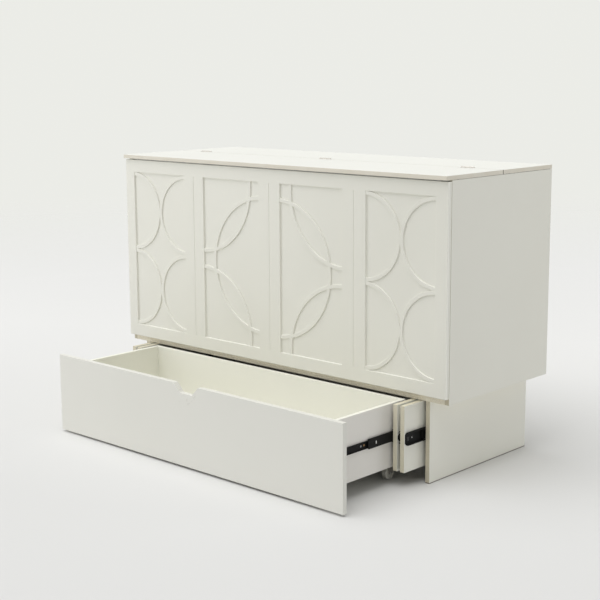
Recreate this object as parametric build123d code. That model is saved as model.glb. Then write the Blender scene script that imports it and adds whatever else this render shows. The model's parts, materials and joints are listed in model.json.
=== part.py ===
from build123d import *
import os

# Murphy cabinet bed: a free-standing chest whose lid flips back, whose fretwork front folds
# down as the bed deck, and whose drawer rides on two telescoping carriages in the base.
# Millimetres. +X is to the right seen from the front, +Y to the back, +Z up.
# Origin: floor level, centre line, middle of the base back panel's underside.

# ---- mattress, folded in three, and the room that the cabinet leaves round it ----
mattress_width = 1524.0
mattress_sections = 3
mattress_section = 677.0
mattress_thickness = 152.0
mattress_gap = 0.5
mattress_seat = 0.3
mattress_side_space = 33.0
mattress_front_space = 19.5
mattress_back_space = 76.0
mattress_head_room = 20.7
mattress_radius = 18.0

# ---- base ----
base_height = 290.0
base_side_setback = 78.0  # the base sides stand this far inside the cabinet sides
base_back_setback = 12.0  # and the base back this far inside the cabinet back

# ---- boards ----
board = 18.0
back_board = 9.0
lid_board = 15.0
slat_board = 22.0
drawer_board = 15.0
drawer_floor_board = 6.0
edge_radius = 1.0

# ---- lid ----
lid_gap = 1.0  # reveal between the side panels and the lid
lid_overhang = 11.0  # beyond the face of the front panel
lid_flap_depth = 322.0
lid_split = 3.0
lid_hinge_inset = 148.0  # from the cabinet's side to the middle of the outer hinges
lid_hinge_length = 55.0
lid_hinge_leaf = 22.0
lid_hinge_sheet = 1.5
lid_hinge_knuckle_radius = 3.0
lid_hinge_pin_radius = 1.25
lid_hinge_play = 0.6
lid_hinge_end_knuckle = 16.5
lid_hinge_end_play = 0.55
spacer_width = 12.0
bumper_radius = 5.0
bumper_inset = 40.0
top_rail_depth = 60.0
top_rail_setback = 4.0

# ---- front panel and its fretwork ----
front_gap = 2.0  # air between the front panel and the side panels
front_lift = 4.5  # the front panel starts this far above the cabinet floor
front_drop = 4.0  # and ends this far below the side panels' tops
front_overlay = 6.0  # the frame and the fretwork lie on a thinner board
front_rail = 50.0
front_outer_stile = 50.0
opening_width = 300.0
opening_count = 4
opening_chamfer = 1.2
seam_chamfer = 1.5
fret_height = 4.5
fret_chamfer = 1.0
fret_width = 14.0
ring_overlap = 1.0
lens_radius = 262.0
lens_overrun = 14.0  # the big arc's centre lies outside the opening's side
quarter_overrun = 5.0
quarter_drop = 27.0  # straight rib between the quarter arc and the rail
front_bottom_radius = 3.0
front_heel_radius = 5.0  # lets the back of the lower edge turn past the side panels

# ---- front pivots ----
pivot_inset = 113.0  # from the cabinet's side to the outer pivots
pivot_pin_radius = 2.0
pivot_pin_length = 34.0
pivot_arm = 3.0
pivot_eye = 4.0
pivot_sheet = 3.0
pivot_foot_width = 30.0
pivot_foot_length = 44.0
pivot_slot_play = 0.6
pivot_screw_radius = 2.2

# ---- folding foot panel stored behind the front ----
foot_gap = 1.0
foot_side_play = 4.0
foot_bottom_play = 4.0
bearer_thickness = 23.5
bearer_width = 46.0
bearer_end = 20.0
deck_hinge_sheet = 1.0
deck_hinge_leaf = 9.0
deck_hinge_knuckle_radius = 2.5
deck_hinge_pin_radius = 1.2
deck_hinge_margin = 21.0
deck_hinge_play = 0.5
deck_hinge_knuckles = 13

# ---- slats ----
slat_count = 7
slat_width = 68.0
slat_play = 1.0
slat_inset = 8.0  # from the cabinet's front edge to the first slat

# ---- catches ----
catch_magnet_radius = 5.0
catch_magnet_length = 20.0
catch_plate_radius = 6.0
catch_plate_sheet = 1.5
catch_drops = (80.0, 560.0)  # below the side panels' tops

# ---- drawer ----
drawer_front_inset = 4.0  # the drawer front is this much narrower than the base at each side
drawer_floor_gap = 8.5
front_reveal = 3.0  # between the drawer front and the front panel
drawer_box_depth = 411.0
drawer_side_bottom = 63.5
drawer_side_drop = 2.5  # the drawer sides end this far below the base's top edge
drawer_floor_rise = 9.0
drawer_groove = 6.0
groove_play = 0.2
notch_top = 124.0
notch_bottom = 60.0
notch_depth = 33.0
notch_corner = 8.0

# ---- carriages ----
carriage_bottom = 56.5
carriage_drop = 1.5  # the carriages end this far below the base's top edge
carriage_back_gap = 7.0
carriage_rail_gap = 2.0
carriage_rail_height = 120.0

# ---- telescopic ball-bearing slides ----
slide_thickness = 12.7
slide_height = 45.0
middle_height = 35.0
inner_height = 26.0
slide_sheet = 1.2
slide_bend = 1.5
slide_lip = 3.4
middle_web = 4.0
inner_reach = 6.2
lip_inset = 1.8
slide_drop = 116.0  # the slides' middle lies this far below the base's top edge
slide_front_inset = 3.0
middle_inset = 34.0
slide_end_chamfer = 7.0
slide_screw_radius = 2.3
slide_screw_inset = 37.0
inner_screw_stations = (167.0, 183.0)
carriage_slide_tail = 62.0  # the carriage boards run on this far behind their slides
drawer_slide_tail = 8.0
cage_length = 150.0
cage_play = 0.3
cage_end = 12.0

# ---- drawer wheels ----
wheel_radius = 24.0
wheel_width = 20.0
wheel_edge = 4.0
wheel_hub_radius = 10.0
wheel_dish = 3.0
axle_radius = 3.0
axle_play = 0.1
wheel_side_play = 1.0
bracket_sheet = 2.0
bracket_length = 60.0
bracket_nose = 8.0
rear_wheel_inset = 32.9  # from the inside of the drawer's side
front_wheel_inset = 227.9
wheel_end_inset = 34.0

# ---- how far the stages are drawn out at rest ----
outer_carriage_out = 101.0
drawer_out = 326.0

# ---- levels and planes that follow from the sizes ----
side_inner = mattress_width / 2 + mattress_side_space
half_width = side_inner + board
cabinet_back = board / 2 + base_back_setback
mattress_back = cabinet_back - back_board - mattress_back_space
mattress_pitch = mattress_thickness + mattress_gap
mattress_front = mattress_back - mattress_sections * mattress_pitch + mattress_gap
foot_back = mattress_front - mattress_front_space - bearer_thickness
foot_face = foot_back - board
front_inner_face = foot_face - foot_gap
cabinet_front = front_inner_face + front_gap
floor_top = base_height + board
slat_top = floor_top + slat_board
mattress_low = slat_top + mattress_seat
lid_bottom = mattress_low + mattress_section + mattress_head_room + board
lid_top = lid_bottom + lid_board
side_top = lid_bottom - lid_gap

front_face = front_inner_face - board
overlay_back = front_face + front_overlay
front_bottom = floor_top + front_lift
front_top = side_top - front_drop
front_height = front_top - front_bottom
opening_height = front_height - 2 * front_rail
opening_middle = front_bottom + front_height / 2
openings_span = 2 * (half_width - front_outer_stile)
opening_gap = (openings_span - opening_count * opening_width) / (opening_count - 1)
opening_pitch = opening_width + opening_gap
pivot_y = front_face + board / 2
pivot_z = front_bottom + board / 2
pivot_places = (pivot_inset - half_width, 0, half_width - pivot_inset)

lid_front = front_face - lid_overhang
flap_back = lid_front + lid_flap_depth
rear_top_front = flap_back + lid_split
lid_axis_y = flap_back + lid_split / 2
lid_axis_z = lid_top + lid_hinge_sheet
lid_hinge_places = (lid_hinge_inset - half_width, 0, half_width - lid_hinge_inset)
lid_hinge_half = lid_hinge_length / 2
fixed_knuckle_start = lid_hinge_half - lid_hinge_end_knuckle
moving_knuckle_end = fixed_knuckle_start - lid_hinge_end_play
lid_hinge_fixed_spans = (
    (-lid_hinge_half, -fixed_knuckle_start), (fixed_knuckle_start, lid_hinge_half),
)
lid_hinge_moving_spans = ((-moving_knuckle_end, moving_knuckle_end),)

foot_top = front_top - deck_hinge_sheet
foot_bottom = slat_top + foot_bottom_play
foot_half_width = side_inner - foot_side_play
deck_axis_y = front_inner_face + foot_gap / 2
deck_axis_z = front_top
deck_hinge_half = foot_half_width - deck_hinge_margin

base_half = half_width - base_side_setback
base_inner = base_half - board
base_back = board / 2
base_front = cabinet_front
base_depth = base_back - base_front
outer_face = base_inner - slide_thickness
outer_inner = outer_face - board
inner_face = outer_inner - slide_thickness
inner_inner = inner_face - board
drawer_face = inner_inner - slide_thickness
drawer_inner = drawer_face - drawer_board
bearer_middle = (outer_face + inner_inner) / 2
carriage_top = base_height - carriage_drop
outer_carriage_length = base_depth - board - carriage_back_gap
inner_carriage_length = outer_carriage_length - board - carriage_rail_gap
outer_carriage_back = base_front + outer_carriage_length
inner_carriage_back = base_front + inner_carriage_length

# places of the drawer when it is shut
box_front = front_face + board
box_back = box_front + drawer_box_depth
drawer_front_half = base_half - drawer_front_inset
drawer_front_top = front_bottom - front_reveal
drawer_front_height = drawer_front_top - drawer_floor_gap
drawer_side_top = base_height - drawer_side_drop
drawer_floor_bottom = drawer_side_bottom + drawer_floor_rise
drawer_floor_top = drawer_floor_bottom + drawer_floor_board
slide_level = base_height - slide_drop
slide_front = base_front + slide_front_inset
carriage_slide_length = outer_carriage_length - slide_front_inset - carriage_slide_tail
drawer_slide_length = drawer_box_depth - slide_front_inset - drawer_slide_tail
drawer_total_out = outer_carriage_out + drawer_out


def block(x0, x1, y0, y1, z0, z1):
    middle = Pos((x0 + x1) / 2, (y0 + y1) / 2, (z0 + z1) / 2)
    return middle * Box(x1 - x0, y1 - y0, z1 - z0)


def rod_x(x, y, z, radius, length):
    """A cylinder along X, centred on the point."""
    return Pos(x, y, z) * Rot(0, 90, 0) * Cylinder(radius, length)


def rod_y(x, y, z, radius, length):
    """A cylinder along Y, centred on the point."""
    return Pos(x, y, z) * Rot(90, 0, 0) * Cylinder(radius, length)


def both_sides(solids):
    return solids + [mirror(solid, about=Plane.YZ) for solid in solids]


def drawn_out(solids, distance):
    return [Pos(0, -distance, 0) * solid for solid in solids]


def front_edges(solid, axis):
    """The edges along one axis on the side that faces the front."""
    return solid.edges().filter_by(axis).group_by(Axis.Y)[0]


def save(name, solids):
    pieces = [piece for solid in solids for piece in solid.solids()]
    shape = pieces[0] if len(pieces) == 1 else Compound(children=pieces)
    export_step(shape, f"parts/{name}.step")


# ---- upper cabinet ----
def side_panel():
    panel = block(side_inner, half_width, cabinet_front, cabinet_back, base_height, side_top)
    panel = fillet(front_edges(panel, Axis.Z), edge_radius)
    rabbet_front = cabinet_back - back_board
    rabbet_side = side_inner + back_board
    panel -= block(side_inner, rabbet_side, rabbet_front, cabinet_back, base_height, side_top)
    for magnet in side_magnets():
        panel -= magnet
    return panel


def side_magnets():
    x = half_width - board / 2
    y = cabinet_front + catch_magnet_length / 2
    radius = catch_magnet_radius
    return [rod_y(x, y, side_top - z, radius, catch_magnet_length) for z in catch_drops]


def back_panel():
    reach = side_inner + back_board
    return block(-reach, reach, cabinet_back - back_board, cabinet_back, base_height, side_top)


def floor_panel():
    back = cabinet_back - back_board
    return block(-side_inner, side_inner, cabinet_front, back, base_height, floor_top)


def deck_slats():
    """Slats across the cabinet floor; the front one is notched round the pivot plates."""
    reach = side_inner - slat_play
    first = cabinet_front + slat_inset
    last = cabinet_back - back_board - slat_width - slat_play
    pitch = (last - first) / (slat_count - 1)
    slats = []
    for index in range(slat_count):
        front = first + index * pitch
        slat = block(-reach, reach, front, front + slat_width, floor_top, slat_top)
        top_edges = slat.edges().filter_by(Axis.X).group_by(Axis.Z)[-1]
        slats.append(fillet(top_edges, edge_radius))
    room = pivot_foot_width / 2 + slat_play
    room_back = first + pivot_foot_length + slat_play
    for x in pivot_places:
        slats[0] -= block(x - room, x + room, first, room_back, floor_top, slat_top)
    return slats


def top_rail():
    """Lies flat between the sides and carries the split edge of the rear top board."""
    front = rear_top_front + top_rail_setback
    back = front + top_rail_depth
    return block(-side_inner, side_inner, front, back, lid_bottom - board, lid_bottom)


def rear_top_board():
    top = block(-half_width, half_width, rear_top_front, cabinet_back, lid_bottom, lid_top)
    ends = top.edges().filter_by(Axis.Y)
    top = fillet(ends + top.edges().filter_by(Axis.X).group_by(Axis.Y)[-1], edge_radius)
    return top - lid_hinge_pockets(rear_top_front, lid_axis_y + lid_hinge_leaf)


def lid_spacers():
    """Strips under the rear board and round bumpers under the flap hold the reveal open."""
    middle = half_width - board / 2
    strip_front = rear_top_front + top_rail_setback
    strip = block(
        middle - spacer_width / 2, middle + spacer_width / 2,
        strip_front, cabinet_back - back_board, side_top, lid_bottom,
    )
    bumper_z = side_top + lid_gap / 2
    bumpers = [
        Pos(middle, y, bumper_z) * Cylinder(bumper_radius, lid_gap)
        for y in (cabinet_front + bumper_inset, flap_back - bumper_inset)
    ]
    return both_sides([strip] + bumpers)


# ---- lid flap and its flush hinges ----
def lid_flap():
    flap = block(-half_width, half_width, lid_front, flap_back, lid_bottom, lid_top)
    ends = flap.edges().filter_by(Axis.Y)
    flap = fillet(ends + front_edges(flap, Axis.X), edge_radius)
    return flap - lid_hinge_pockets(lid_axis_y - lid_hinge_leaf, flap_back)


def lid_hinge_pockets(y0, y1):
    low = lid_top - lid_hinge_sheet
    return [
        block(x - lid_hinge_half, x + lid_hinge_half, y0, y1, low, lid_top)
        for x in lid_hinge_places
    ]


def lid_hinge_leaves(side, spans):
    """Flush leaves to one side of the pin, each with knuckles on its spans of the pin."""
    low = lid_top - lid_hinge_sheet
    plate_start = lid_axis_y + side * (lid_hinge_knuckle_radius + lid_hinge_play)
    plate_end = lid_axis_y + side * lid_hinge_leaf
    leaves = []
    for x in lid_hinge_places:
        near, far = sorted((plate_start, plate_end))
        leaf = block(x - lid_hinge_half, x + lid_hinge_half, near, far, low, lid_top)
        near, far = sorted((lid_axis_y, plate_start))
        for start, end in spans:
            middle = x + (start + end) / 2
            leaf += block(x + start, x + end, near, far, low, lid_top)
            leaf += rod_x(
                middle, lid_axis_y, lid_axis_z, lid_hinge_knuckle_radius, end - start
            )
        hole = lid_hinge_pin_radius + axle_play / 2
        leaves.append(leaf - rod_x(x, lid_axis_y, lid_axis_z, hole, lid_hinge_length))
    return leaves


def lid_hinge_pins():
    return [
        rod_x(x, lid_axis_y, lid_axis_z, lid_hinge_pin_radius, lid_hinge_length)
        for x in lid_hinge_places
    ]


# ---- front panel ----
def pivot_slots():
    """Room for the pivot plates to swing from behind the panel to below it."""
    half = pivot_sheet / 2 + pivot_slot_play
    front = pivot_y - pivot_eye - pivot_slot_play
    top = pivot_z + pivot_eye + pivot_slot_play
    return [
        block(x - half, x + half, front, front_inner_face, front_bottom, top)
        for x in pivot_places
    ]


def pivot_pins():
    return [rod_x(x, pivot_y, pivot_z, pivot_pin_radius, pivot_pin_length) for x in pivot_places]


def pivot_plates():
    """An eye on an arm above the cabinet floor, on a foot screwed down behind the front edge."""
    foot_front = cabinet_front + slat_inset
    foot_rear = foot_front + pivot_foot_length
    half_sheet = pivot_sheet / 2
    half_foot = pivot_foot_width / 2
    plates = []
    for x in pivot_places:
        plate = rod_x(x, pivot_y, pivot_z, pivot_eye, pivot_sheet)
        plate += block(
            x - half_sheet, x + half_sheet, pivot_y, foot_rear,
            pivot_z - pivot_arm, pivot_z + pivot_arm,
        )
        plate += block(
            x - half_sheet, x + half_sheet, foot_front, foot_rear, floor_top, pivot_z
        )
        plate += block(
            x - half_foot, x + half_foot, foot_front, foot_rear,
            floor_top, floor_top + pivot_sheet,
        )
        plate -= rod_x(x, pivot_y, pivot_z, pivot_pin_radius + axle_play / 2, pivot_sheet)
        for side in (-1, 1):
            screw_x = x + side * half_foot / 2
            screw_z = floor_top + pivot_sheet / 2
            for y in (foot_front + half_foot / 2, foot_rear - half_foot / 2):
                plate -= Pos(screw_x, y, screw_z) * Cylinder(pivot_screw_radius, pivot_sheet)
        plates.append(plate)
    return plates


def front_board():
    panel = block(
        -half_width, half_width, overlay_back, front_inner_face, front_bottom, front_top
    )
    lower_edge = panel.edges().filter_by(Axis.X).group_by(Axis.Y)[-1].group_by(Axis.Z)[0]
    panel = fillet(lower_edge, front_heel_radius)
    leaf_front = front_inner_face - deck_hinge_leaf
    leaf_room = block(
        -deck_hinge_half, deck_hinge_half, leaf_front, front_inner_face,
        front_top - deck_hinge_sheet, front_top,
    )
    panel -= [leaf_room, deck_hinge_groove()]
    panel -= pivot_slots()
    return panel - pivot_pins()


def front_rails():
    low = front_bottom + front_rail
    high = front_top - front_rail
    bottom = block(-half_width, half_width, front_face, overlay_back, front_bottom, low)
    bottom = fillet(front_edges(bottom, Axis.Z), edge_radius)
    lowest = front_edges(bottom, Axis.X).group_by(Axis.Z)[0]
    bottom = fillet(lowest, front_bottom_radius) - pivot_slots()
    top = block(-half_width, half_width, front_face, overlay_back, high, front_top)
    top = fillet(front_edges(top, Axis.Z), edge_radius)
    top = fillet(front_edges(top, Axis.X).group_by(Axis.Z)[-1], edge_radius)
    return [rail - opening_plugs() for rail in (bottom, top)]


def front_stiles():
    """The outer stiles, and pairs of inner stiles that meet in a V seam."""
    low = front_bottom + front_rail
    high = front_top - front_rail
    stile_inner = half_width - front_outer_stile
    outer = block(stile_inner, half_width, front_face, overlay_back, low, high)
    outer = fillet(front_edges(outer, Axis.Z).sort_by(Axis.X)[-1], edge_radius)
    pieces = both_sides([outer])
    for index in range(opening_count - 1):
        seam = -stile_inner + (index + 1) * opening_pitch - opening_gap / 2
        right = block(seam, seam + opening_gap / 2, front_face, overlay_back, low, high)
        left = block(seam - opening_gap / 2, seam, front_face, overlay_back, low, high)
        pieces.append(chamfer(front_edges(right, Axis.Z).sort_by(Axis.X)[0], seam_chamfer))
        pieces.append(chamfer(front_edges(left, Axis.Z).sort_by(Axis.X)[-1], seam_chamfer))
    return [piece - opening_plugs() for piece in pieces]


def opening_centre(index):
    first = -half_width + front_outer_stile + opening_width / 2
    return first + index * opening_pitch


def opening_plugs():
    """Taken out of rails and stiles, these leave a chamfer round each opening's mouth."""
    plugs = []
    for index in range(opening_count):
        origin = (opening_centre(index), front_face, opening_middle)
        plane = Plane(origin=origin, x_dir=(1, 0, 0), z_dir=(0, -1, 0))
        width = opening_width + 2 * opening_chamfer
        height = opening_height + 2 * opening_chamfer
        mouth = plane * Rectangle(width, height)
        plugs.append(extrude(mouth, -opening_chamfer, taper=45))
    return plugs


def rib_section(inner):
    """Half-profile of a rib, from its inner radius outwards, chamfered on both shoulders."""
    outer = inner + fret_width
    shoulder = fret_height - fret_chamfer
    return make_face(Polyline(
        (inner, 0), (inner, shoulder), (inner + fret_chamfer, fret_height),
        (outer - fret_chamfer, fret_height), (outer, shoulder), (outer, 0), close=True,
    ))


def ring(x, z, radius, start=0, sweep=360):
    """A rib bent into an arc about a point of the opening, turned from +X towards +Z."""
    profile = Plane.XZ * rib_section(radius - fret_width)
    arc = Rot(0, 0, start) * revolve(profile, Axis.Z, sweep)
    return Pos(x, overlay_back, z) * Rot(90, 0, 0) * arc


def straight_rib(x, z0, z1):
    """An upright rib whose left shoulder stands at x."""
    profile = Plane.XZ * rib_section(0)
    upright = extrude(profile, z1 - z0)
    return Pos(x, overlay_back, z1) * Rot(90, 0, 0) * upright


def clipped(ribs, centre):
    left = centre - opening_width / 2
    low = opening_middle - opening_height / 2
    room = block(
        left, left + opening_width, overlay_back - fret_height, overlay_back,
        low, low + opening_height,
    )
    fret = ribs[0]
    for rib in ribs[1:]:
        fret += rib
    return fret & room


def ring_fretwork():
    """Four rings on a square grid, each touching its neighbours, cut off by the opening."""
    step = opening_height / 4
    radius = step + ring_overlap
    frets = []
    for index in (0, opening_count - 1):
        centre = opening_centre(index)
        places = [(x, z) for x in (-step, step) for z in (-step, step)]
        rings = [ring(centre + x, opening_middle + z, radius) for x, z in places]
        frets.append(clipped(rings, centre))
    return frets


def lens_fretwork():
    """A big arc from the inner side, crossed by two quarter arcs from the outer corners."""
    centre = opening_centre(opening_count // 2)
    big_x = centre - opening_width / 2 - lens_overrun
    small_x = centre + opening_width / 2 + quarter_overrun
    rise = opening_height / 2 - quarter_drop
    rib_x = small_x - lens_radius
    ribs = [
        ring(big_x, opening_middle, lens_radius),
        ring(small_x, opening_middle + rise, lens_radius, 180, 90),
        ring(small_x, opening_middle - rise, lens_radius, 90, 90),
        straight_rib(rib_x, opening_middle + rise, opening_middle + rise + quarter_drop),
        straight_rib(rib_x, opening_middle - rise - quarter_drop, opening_middle - rise),
    ]
    return both_sides([clipped(ribs, centre)])


# ---- foot panel and the hinge that joins it to the front ----
def deck_hinge_groove():
    radius = deck_hinge_knuckle_radius + deck_hinge_play
    return rod_x(0, deck_axis_y, deck_axis_z, radius, 2 * deck_hinge_half)


def deck_hinge_leaf_strip(side, offset):
    """One leaf of the long hinge: every second knuckle belongs to it."""
    start = deck_axis_y + side * foot_gap / 2
    near, far = sorted((start, start + side * deck_hinge_leaf))
    low = deck_axis_z - deck_hinge_sheet
    strip = block(-deck_hinge_half, deck_hinge_half, near, far, low, deck_axis_z)
    strip -= deck_hinge_groove()
    step = 2 * deck_hinge_half / deck_hinge_knuckles
    edge = deck_axis_y + side * (deck_hinge_knuckle_radius + 2 * deck_hinge_play)
    near, far = sorted((deck_axis_y, edge))
    for index in range(offset, deck_hinge_knuckles, 2):
        x = -deck_hinge_half + (index + 0.5) * step
        length = step - deck_hinge_play
        strip += rod_x(x, deck_axis_y, deck_axis_z, deck_hinge_knuckle_radius, length)
        strip += block(x - length / 2, x + length / 2, near, far, low, deck_axis_z)
    hole = deck_hinge_pin_radius + axle_play / 2
    return strip - rod_x(0, deck_axis_y, deck_axis_z, hole, 2 * deck_hinge_half)


def deck_hinge_pin():
    return rod_x(0, deck_axis_y, deck_axis_z, deck_hinge_pin_radius, 2 * deck_hinge_half)


def foot_panel():
    panel = block(
        -foot_half_width, foot_half_width, foot_face, foot_back, foot_bottom, foot_top
    )
    lower_edges = panel.edges().filter_by(Axis.X).group_by(Axis.Z)[0]
    return fillet(lower_edges, edge_radius) - deck_hinge_groove()


def foot_bearers():
    """Battens that stand on the carriages when the foot panel lies open."""
    bearer = block(
        bearer_middle - bearer_width / 2, bearer_middle + bearer_width / 2,
        foot_back, foot_back + bearer_thickness,
        foot_bottom + bearer_end, foot_top - bearer_end,
    )
    back_edges = bearer.edges().filter_by(Axis.Z).group_by(Axis.Y)[-1]
    return both_sides([fillet(back_edges, edge_radius)])


def catch_plates():
    x = half_width - board / 2
    y = front_inner_face + catch_plate_sheet / 2
    radius = catch_plate_radius
    discs = [rod_y(x, y, side_top - z, radius, catch_plate_sheet) for z in catch_drops]
    return both_sides(discs)


# ---- mattress, folded in three ----
def mattress_section_at(index):
    """Sections stand on edge, counted from the front."""
    front = mattress_front + index * mattress_pitch
    half = mattress_width / 2
    high = mattress_low + mattress_section
    section = block(-half, half, front, front + mattress_thickness, mattress_low, high)
    return fillet(section.edges(), mattress_radius)


# ---- base ----
def base_side_panel():
    panel = block(base_inner, base_half, base_front, base_back, 0, base_height)
    return fillet(front_edges(panel, Axis.Z), edge_radius)


def base_back_panel():
    return block(-base_inner, base_inner, base_back - board, base_back, 0, base_height)


# ---- telescopic slides: u runs from the outer member's board to the inner member's ----
def rolled_channel(points):
    """A sheet section from the corners of its middle line, bent round at each corner."""
    path = FilletPolyline(*points, radius=slide_bend)
    return trace(path, slide_sheet)


def outer_section():
    u = slide_thickness - lip_inset - slide_sheet / 2
    v = slide_height / 2 - slide_sheet / 2
    lip = v - slide_lip
    web = slide_sheet / 2
    return rolled_channel([(u, lip), (u, v), (web, v), (web, -v), (u, -v), (u, -lip)])


def middle_section():
    u = slide_thickness - lip_inset - slide_sheet / 2
    v = middle_height / 2 - slide_sheet / 2
    lip = v - slide_lip
    web = middle_web + slide_sheet / 2
    return rolled_channel([(u, lip), (u, v), (web, v), (web, -v), (u, -v), (u, -lip)])


def inner_section():
    v = inner_height / 2 - slide_sheet / 2
    web = slide_thickness - slide_sheet / 2
    return rolled_channel([(inner_reach, v), (web, v), (web, -v), (inner_reach, -v)])


def slide_plane(x, side, front):
    """Section plane at the slide's front end; the section's u axis points to +X or -X."""
    return Plane(origin=(x, front, slide_level), x_dir=(side, 0, 0), z_dir=(0, side, 0))


def slide_member(section, x, side, front, length, height, stations):
    """A rolled member along Y with chamfered front corners and screw holes in its web."""
    plane = slide_plane(x, side, front)
    member = extrude(plane * section, side * length)
    outline = block(
        x - slide_thickness, x + slide_thickness, front, front + length,
        slide_level - height / 2, slide_level + height / 2,
    )
    corners = outline.edges().filter_by(Axis.X).group_by(Axis.Y)[0]
    member &= chamfer(corners, slide_end_chamfer)
    for station in stations:
        member -= rod_x(
            x, front + station, slide_level, slide_screw_radius, 2 * slide_thickness
        )
    return member


def outer_member(x, side, length):
    stations = (slide_screw_inset, length / 2, length - slide_screw_inset)
    return slide_member(
        outer_section(), x, side, slide_front, length, slide_height, stations
    )


def middle_member(x, side, length):
    front = slide_front + middle_inset
    span = length - middle_inset
    stations = (slide_screw_inset, span - slide_screw_inset)
    return slide_member(middle_section(), x, side, front, span, middle_height, stations)


def inner_member(x, side, length):
    stations = (*inner_screw_stations, length - slide_screw_inset)
    return slide_member(
        inner_section(), x, side, slide_front, length, inner_height, stations
    )


def ball_cages(x, side, length, outer_at_front):
    """Strips that hold the balls: two between outer and middle, two inside the middle."""
    front = slide_front + middle_inset + cage_end
    rear = slide_front + length - cage_end - cage_length
    outer_front = front if outer_at_front else rear
    inner_front = rear if outer_at_front else front
    lip = slide_thickness - lip_inset - slide_sheet
    spans = (
        (outer_front, middle_height / 2, slide_height / 2 - slide_sheet, middle_web),
        (inner_front, inner_height / 2, middle_height / 2 - slide_sheet,
         middle_web + slide_sheet + slide_bend),
    )
    cages = []
    for start, low, high, near in spans:
        left, right = sorted((x + side * near, x + side * (lip - cage_play)))
        for sign in (-1, 1):
            bottom, top = sorted((sign * (low + cage_play), sign * (high - cage_play)))
            cages.append(block(
                left, right, start, start + cage_length,
                slide_level + bottom, slide_level + top,
            ))
    return cages


# ---- carriages ----
def carriage_side(face, length):
    side = block(
        face - board, face, base_front, base_front + length, carriage_bottom, carriage_top
    )
    edges = front_edges(side, Axis.Z) + side.edges().filter_by(Axis.Y).group_by(Axis.Z)[-1]
    return fillet(edges, edge_radius)


def carriage_rail(reach, back):
    """Ties the two sides of a carriage together behind the drawer."""
    half = carriage_rail_height / 2
    return block(-reach, reach, back - board, back, slide_level - half, slide_level + half)


# ---- drawer ----
def drawer_front():
    outline = Rectangle(2 * drawer_front_half, drawer_front_height)
    top = drawer_front_height / 2
    notch = Polygon(
        (-notch_top / 2, top), (-notch_bottom / 2, top - notch_depth),
        (notch_bottom / 2, top - notch_depth), (notch_top / 2, top), align=None,
    )
    outline -= notch
    corners = [v for v in outline.vertices() if abs(v.X) < notch_top]
    outline = fillet(corners, notch_corner)
    middle = (0, front_face, drawer_floor_gap + drawer_front_height / 2)
    plane = Plane(origin=middle, x_dir=(1, 0, 0), z_dir=(0, -1, 0))
    panel = extrude(plane * outline, -board)
    return fillet(panel.faces().sort_by(Axis.Y)[0].edges(), edge_radius)


def drawer_side():
    side = block(
        drawer_inner, drawer_face, box_front, box_back, drawer_side_bottom, drawer_side_top
    )
    side = fillet(side.edges().filter_by(Axis.Y).group_by(Axis.Z)[-1], edge_radius)
    return side - block(
        drawer_inner, drawer_inner + drawer_groove, box_front, box_back,
        drawer_floor_bottom - groove_play, drawer_floor_top + groove_play,
    )


def drawer_back():
    front = box_back - drawer_board
    panel = block(
        -drawer_inner, drawer_inner, front, box_back, drawer_floor_top, drawer_side_top
    )
    return fillet(panel.edges().filter_by(Axis.X).group_by(Axis.Z)[-1], edge_radius)


def drawer_floor():
    reach = drawer_inner + drawer_groove - groove_play
    return block(-reach, reach, box_front, box_back, drawer_floor_bottom, drawer_floor_top)


# ---- drawer wheels ----
def wheel_places():
    rear = box_back - wheel_end_inset
    front = box_front + wheel_end_inset
    rear_x = drawer_inner - rear_wheel_inset
    front_x = drawer_inner - front_wheel_inset
    return {
        "rear_left_wheel": (-rear_x, rear),
        "rear_right_wheel": (rear_x, rear),
        "front_left_wheel": (-front_x, front),
        "front_right_wheel": (front_x, front),
    }


def wheel(x, y):
    """A dished wheel with a rounded tread, turned about its axle."""
    half = wheel_width / 2
    rim = wheel_radius - 2 * wheel_edge
    profile = Polyline(
        (axle_radius + axle_play, -half), (wheel_hub_radius, -half),
        (wheel_hub_radius, wheel_dish - half), (rim, wheel_dish - half), (rim, -half),
        (wheel_radius, -half), (wheel_radius, half), (rim, half), (rim, half - wheel_dish),
        (wheel_hub_radius, half - wheel_dish), (wheel_hub_radius, half),
        (axle_radius + axle_play, half), close=True,
    )
    face = make_face(profile)
    tread = face.vertices().group_by(Axis.X)[-1]
    turned = revolve(fillet(tread, wheel_edge), Axis.Y)
    return Pos(x, y, wheel_radius) * Rot(0, 0, 90) * turned


def wheel_axle(x, y):
    reach = wheel_width + 2 * (wheel_side_play + bracket_sheet)
    return rod_x(x, y, wheel_radius, axle_radius, reach)


def wheel_bracket(x, y):
    """A folded bracket: a plate under the drawer floor and two cheeks down to the axle."""
    inside = wheel_width / 2 + wheel_side_play
    outside = inside + bracket_sheet
    plate_low = drawer_floor_bottom - bracket_sheet
    plate = block(
        x - outside, x + outside, y - bracket_length / 2, y + bracket_length / 2,
        plate_low, drawer_floor_bottom,
    )
    rise = plate_low - wheel_radius
    nose = Circle(bracket_nose)
    shoulder = Pos(0, rise) * Rectangle(bracket_length, 2 * bracket_sheet)
    cheek_face = make_face(make_hull(nose.edges() + shoulder.edges()))
    for side in (-1, 1):
        start = x + side * inside if side > 0 else x - outside
        plane = Plane(origin=(start, y, wheel_radius), x_dir=(0, 1, 0), z_dir=(1, 0, 0))
        plate += extrude(plane * cheek_face, bracket_sheet)
    over = block(
        x - outside, x + outside, y - bracket_length, y + bracket_length,
        drawer_floor_bottom, drawer_floor_bottom + bracket_length,
    )
    return plate - over - rod_x(x, y, wheel_radius, axle_radius, 2 * outside)


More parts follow.
